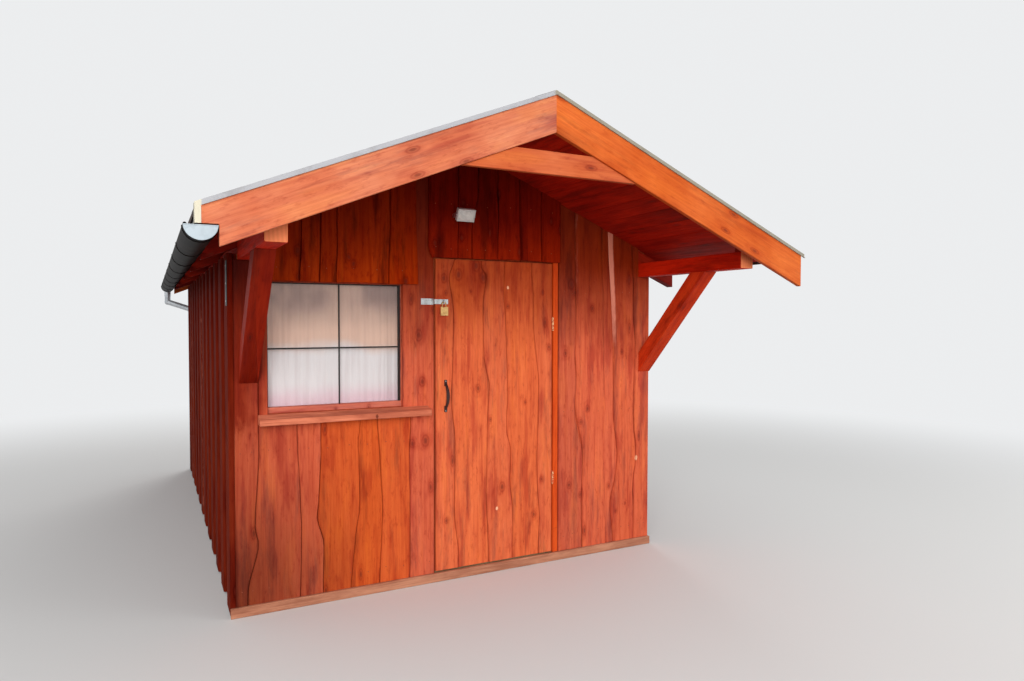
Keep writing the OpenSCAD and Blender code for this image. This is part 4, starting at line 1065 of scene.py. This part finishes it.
def build_floor():
    """Floor boards, cut out round the corner posts."""
    low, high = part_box("floor_boards")
    floor = Joined("floor_planks", 97)
    plane = Plane((0, 0, low.z), (0, 1, 0), (0, 0, 1), (1, 0, 0))
    post = 0.1005
    for y0, y1, inset in ((low.y, low.y + post, post), (low.y + post, high.y - post, 0.0),
                          (high.y - post, high.y, post)):
        floor.row(plane, y0, y1, low.x + inset + HAIR, high.x - inset - HAIR, 0.0,
                  high.z - low.z, 0.125, wane=0.002)
    floor.build(floor_timber, "raw_timber", "floor_boards")


# The window, the curtain and the small parts


def build_window_bars():
    """Slim crossing bars on the glass, and a dark bead round the pane: putty, widened on the right
    into painted shadow of the reveal.
    """
    bars = Joined("window_bars", 98)
    cross_x, cross_z = -0.834, 1.5
    y0, y1 = GLASS_FACE - 0.007, GLASS_FACE
    half, bead, wide_shadow_bead = 0.0045, 0.007, 0.016
    inner_left, inner_right = WINDOW_LEFT + bead, WINDOW_RIGHT - wide_shadow_bead
    bars.block((cross_x - half, y0, RAIL_TOP - 0.002), (cross_x + half, y1, WINDOW_HEAD + 0.002))
    for x0, x1 in ((WINDOW_LEFT, cross_x), (cross_x, WINDOW_RIGHT)):
        bars.block((x0, y0 + 0.001, cross_z - half), (x1, y1, cross_z + half))
    # The bead is putty; on the right it is widened into painted shadow of the reveal
    for x0, x1, z in ((WINDOW_LEFT, inner_left, RAIL_TOP), (inner_right, WINDOW_RIGHT, RAIL_TOP),
                      (inner_left, inner_right, WINDOW_HEAD - bead)):
        bars.block((x0, y0 + 0.002, z), (x1, y1, WINDOW_HEAD), 0.0015)
    bars.build(bar_metal, "dark_iron")


def build_curtain():
    """A gathered net, hung from its rod by a cloth simulation."""
    low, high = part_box("curtain")
    width, drop, depth = high.x - low.x, high.z - low.z, high.y - low.y
    middle = (low.y + high.y) / 2
    columns, rows, folds, inset, wave = 192, 60, 29, 0.004, 0.11
    chance = random.Random(5)
    shares = [chance.uniform(0.7, 1.3) for _ in range(folds)]
    total = sum(shares)
    starts = [sum(shares[:n]) / total for n in range(folds + 1)]

    def pleat(u):
        n = max(i for i in range(folds) if starts[i] <= u + 1e-9)
        t = (u - starts[n]) / (starts[n + 1] - starts[n])
        return math.sin(math.tau * t) * (0.7 + 0.3 * math.sin(n * 2.4))

    points = [(low.x + inset + (width - 2 * inset) * c / columns,
               middle + wave * depth * pleat(c / columns),
               high.z - HAIR - (drop - 0.006) * r / rows)
              for r in range(rows + 1) for c in range(columns + 1)]
    faces = []
    for r in range(rows):
        for c in range(columns):
            i = r * (columns + 1) + c
            faces.append((i, i + 1, i + columns + 2, i + columns + 1))
    mesh = bpy.data.meshes.new("window_curtain")
    mesh.from_pydata(points, [], faces)
    mesh.shade_smooth()
    curtain = add_piece("window_curtain", mesh, curtain_net, "curtain_net", "curtain")
    settle(curtain, columns + 1, low, high)


def settle(cloth, pinned, low, high, frames=26):
    """Lets the cloth hang, keeps it in its space and applies the result."""
    group = cloth.vertex_groups.new(name="pinned")
    group.add(list(range(pinned)), 1.0, "REPLACE")
    hang = cloth.modifiers.new("hang", "CLOTH")
    for name, value in (("quality", 6), ("mass", 0.12), ("tension_stiffness", 30),
                        ("compression_stiffness", 12), ("shear_stiffness", 4),
                        ("bending_stiffness", 0.05), ("vertex_group_mass", "pinned")):
        setattr(hang.settings, name, value)
    hang.collision_settings.use_collision = False
    hang.collision_settings.use_self_collision = False
    scene = bpy.context.scene
    for frame_number in range(1, frames + 1):
        scene.frame_set(frame_number)
    settled = cloth.evaluated_get(bpy.context.evaluated_depsgraph_get())
    shape = [v.co.copy() for v in settled.data.vertices]
    cloth.modifiers.remove(hang)
    scene.frame_set(1)
    middle = (low.y + high.y) / 2
    reach = max(abs(p.y - middle) for p in shape)
    squeeze = min(1.0, 0.49 * (high.y - low.y) / reach)
    for vertex, p in zip(cloth.data.vertices, shape):
        vertex.co = (min(max(p.x, low.x), high.x), middle + (p.y - middle) * squeeze,
                     min(max(p.z, low.z), high.z))


def build_gutter_cap():
    """Stamped end cap with a rolled rim, on the front end of the gutter."""
    low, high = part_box("gutter")
    radius, rim, sides = 0.0645, 0.0035, 24
    centre_x, rim_z = low.x + radius, high.z - 0.0075
    cap = Joined("gutter_end_cap", 101)
    rings = []
    for share, rise in ((1.0, -HAIR), (1.0, 0.0016), (0.985, 0.0026), (0.955, 0.0026),
                        (0.935, 0.0008)):
        rings.append([Vector((centre_x - radius * share * math.cos(math.pi * n / sides),
                              low.y - rise, rim_z - rim * (1 - share) * 20
                              - (radius - rim) * share * math.sin(math.pi * n / sides)))
                      for n in range(sides + 1)])
    cap.loft(rings)
    cap.build(cap_zinc, "zinc")


def build_handle():
    """Forged pull: a flat bowed bar that swells in the middle, on two feet."""
    low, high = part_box("door_handle")
    x, middle = (low.x + high.x) / 2, (low.z + high.z) / 2
    pull = Joined("pull_handle", 131)
    half, half_length, foot, end, bow, steps = 0.004, 0.076, 0.083, 0.0045, 2.4, 12
    reach = high.y - low.y - 2 * end
    shares = [n / steps for n in range(-steps, steps + 1)]
    path = [Vector((x, high.y - end - reach * (1 - abs(t) ** bow), middle + half_length * t))
            for t in shares]
    rings = []
    for n, t in enumerate(shares):
        along = (path[min(n + 1, 2 * steps)] - path[max(n - 1, 0)]).normalized()
        out = along.cross(Vector((1, 0, 0)))
        wide = 0.008 + 0.003 * (1 - abs(t))
        rings.append([path[n] + Vector((a, 0, 0)) + out * d
                      for a, d in chamfered(-wide, -half, wide, half, 0.0022)])
    pull.loft(rings)
    for z in (middle - foot, middle + foot):
        pull.block((low.x, high.y - 0.004, z - 0.02), (high.x, high.y, z + 0.02), 0.0015)
    pull.build(dark_iron, "dark_iron", "door_handle", body="door", angle=50)


def build_lamp_lens():
    """Ribbed glass over the floodlight's reflector, set in the housing's rim."""
    low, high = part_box("floodlight_bracket")
    middle = Vector(((low.x + high.x) / 2, low.y + LAMP_PIN, (low.z + high.z) / 2))
    tilt = math.radians(25)
    out = Vector((0, -math.cos(tilt), -math.sin(tilt)))
    plane = Plane(middle + out * 0.0112, (1, 0, 0), out, (0, -math.sin(tilt), math.cos(tilt)))
    lens = Joined("floodlight_lens", 121)
    half_w, half_h, ribs, border = 0.0495, 0.0295, 12, 0.004
    section = [(-half_w, 0.0), (-half_w, 0.0012)]
    for n in range(ribs):
        left = -half_w + border + 2 * (half_w - border) * n / ribs
        section += [(left, 0.0018), (left + 0.0036, 0.0030)]
    section += [(half_w - border, 0.0018), (half_w, 0.0012), (half_w, 0.0)]
    lens.loft([[plane.at(a, s, d * share) for a, d in section] for s, share in (
        (-half_h, 0.3), (0.003 - half_h, 1.0), (half_h - 0.003, 1.0), (half_h, 0.3))])
    lens.build(lens_glass, "pale_metal")


def build_fixings():
    """Nail and screw heads, in joined meshes."""
    nails = Joined("wall_nails", 111)
    for plane, sway_x, sway_z, depth, heights, places in (
            (front, 0.006, 0.008, CLADDING, (0.14, 0.92),
             (-1.4, -1.335, -1.25, -1.13, -1.02, -0.91, -0.79, -0.68, -0.56, -0.45, -0.37,
              -0.285)),
            (front, 0.006, 0.01, CLADDING - 0.003, (0.16, 1.02, 1.86), (0.72, 0.79)),
            (front, 0.006, 0.01, CLADDING, (0.16, 1.02, 1.86), (0.9, 1.01, 1.21, 1.28, 1.37, 1.42)),
            (outer, 0.008, 0.008, OVER, (2.12, 2.4), (-0.24, -0.13, -0.03, 0.11, 0.28, 0.44, 0.6))):
        for x in places:
            for z in heights:
                nails.stud(plane, x + nails.chance.uniform(-sway_x, sway_x),
                           z + nails.chance.uniform(-sway_z, sway_z), depth)
    for x in (-1.2, -1.02, -0.92, -0.76, -0.62, -0.46):
        nails.stud(outer, x, 1.97 + nails.chance.uniform(-0.008, 0.008), OVER)
    nails.build(nail_steel, "hinge_steel")
    screws = Joined("wall_screws", 112)
    for x in (-0.321, -0.282):
        for z in (1.771, 1.793):
            screws.stud(outer, x, z, 0.003, 0.0035, 0.0014, 10)
    side = Plane((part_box("corner_plate")[0].x, 0, 0), (0, 1, 0), (-1, 0, 0))
    for z in (1.77, 1.87, 1.97):
        screws.stud(side, -2.157, z, 0.0, 0.006, 0.002, 10)
    low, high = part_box("floodlight_bracket")
    for x, way in ((low.x, -1), (high.x, 1)):
        screws.stud(Plane((x, 0, 0), (0, 1, 0), (way, 0, 0)), low.y + LAMP_PIN,
                    (low.z + high.z) / 2, 0.0, 0.008, 0.005, 12)
    screws.build(bright_steel, "bright_steel")
    door_screws = Joined("handle_screws", 113)
    for foot in (1.099, 1.265):
        for z in (foot - 0.012, foot + 0.012):
            door_screws.stud(outer, -0.168, z, 0.004, 0.0032, 0.0012, 10)
    door_screws.build(bright_steel, "bright_steel", body="door")


# Camera, light and stage

BACKGROUND = (0.84, 0.85, 0.86, 1.0)


def add_camera(place, yaw, pitch, roll, lens):
    """A camera that is turned to the right, tilted up and rolled by degrees."""
    data = bpy.data.cameras.new("camera")
    data.lens = lens
    data.sensor_width = 36.0
    data.sensor_fit = "HORIZONTAL"
    data.clip_end = 200.0
    camera = put("camera", data)
    turns = [Matrix.Rotation(math.radians(degrees), 4, axis)
             for degrees, axis in ((-yaw, "Z"), (90 + pitch, "X"), (roll, "Z"))]
    camera.matrix_world = Matrix.Translation(place) @ turns[0] @ turns[1] @ turns[2]
    bpy.context.scene.camera = camera


def add_lamp(name, place, aim, size, power):
    data = bpy.data.lights.new(name, "AREA")
    data.shape = "SQUARE"
    data.size = size
    data.energy = power
    lamp = put(name, data)
    lamp.location = place
    lamp.visible_glossy = False
    lamp.rotation_euler = (Vector(aim) - Vector(place)).to_track_quat("-Z", "Y").to_euler()


def add_floor():
    """A pale floor that keeps the shadow and runs out into the background. Its bounce
    light is browner than what is seen of it, as from a timber deck."""
    reach = 60.0
    mesh = bpy.data.meshes.new("studio_floor")
    corners = [(reach * x, reach * y, 0) for x, y in ((-1, -1), (1, -1), (1, 1), (-1, 1))]
    mesh.from_pydata(corners, [], [(0, 1, 2, 3)])
    s = Finish("studio_floor")
    seen = s.seen_directly()
    s.set(Base_Color=s.mix(seen, (0.30, 0.27, 0.25, 1.0), (0.74, 0.73, 0.71, 1.0)),
          Roughness=0.9, Specular_IOR_Level=0.1)
    middle = s.vector("ADD", s.place, (0.0, 1.0, 0.0))
    far = s.spread(s.vector("LENGTH", middle), 4.5, 10.0)
    glow = s.node("Emission", BACKGROUND).outputs[0]
    s.join(s.blend(s.times(far, seen), s.surface.outputs[0], glow), s.output)
    mesh.materials.append(s.material)
    put("studio_floor", mesh)


def add_world(colour, strength):
    """Soft light from all round, and a plain pale background."""
    world = bpy.data.worlds.new("studio")
    bpy.context.scene.world = world
    s = Nodes(world)
    light, plain = (s.node("Background", *look).outputs[0]
                    for look in ((colour, strength), (BACKGROUND, 1.0)))
    s.node("OutputWorld", s.blend(s.seen_directly(), light, plain))
    bpy.context.scene.view_settings.view_transform = "Standard"


add_camera((-1.838, -6.336, 1.666), yaw=27.433, pitch=-1.671, roll=0.067, lens=24.53)
for build in (build_front_left, build_front_right, build_over_door, build_window_head, build_gable,
              build_batten, build_door, build_side_walls, build_rear_wall, build_roof_boards,
              build_shingles, build_ridge, build_floor, build_window_bars, build_curtain,
              build_gutter_cap, build_handle, build_lamp_lens, build_fixings):
    build()
add_floor()
add_world((0.95, 0.97, 1.0, 1.0), 0.58)
add_lamp("key_light", (-5.0, -10.5, 5.0), (0, -2, 1.3), 5.0, 410)
add_lamp("front_light", (-4.2, -12.5, 2.7), (0, -2, 1.6), 4.5, 470)
add_lamp("fill_light", (7.0, -7.5, 2.7), (0, -1, 1.4), 4.5, 210)
add_lamp("rear_light", (3.0, 9.0, 7.0), (0, 1, 1.2), 5.0, 320)
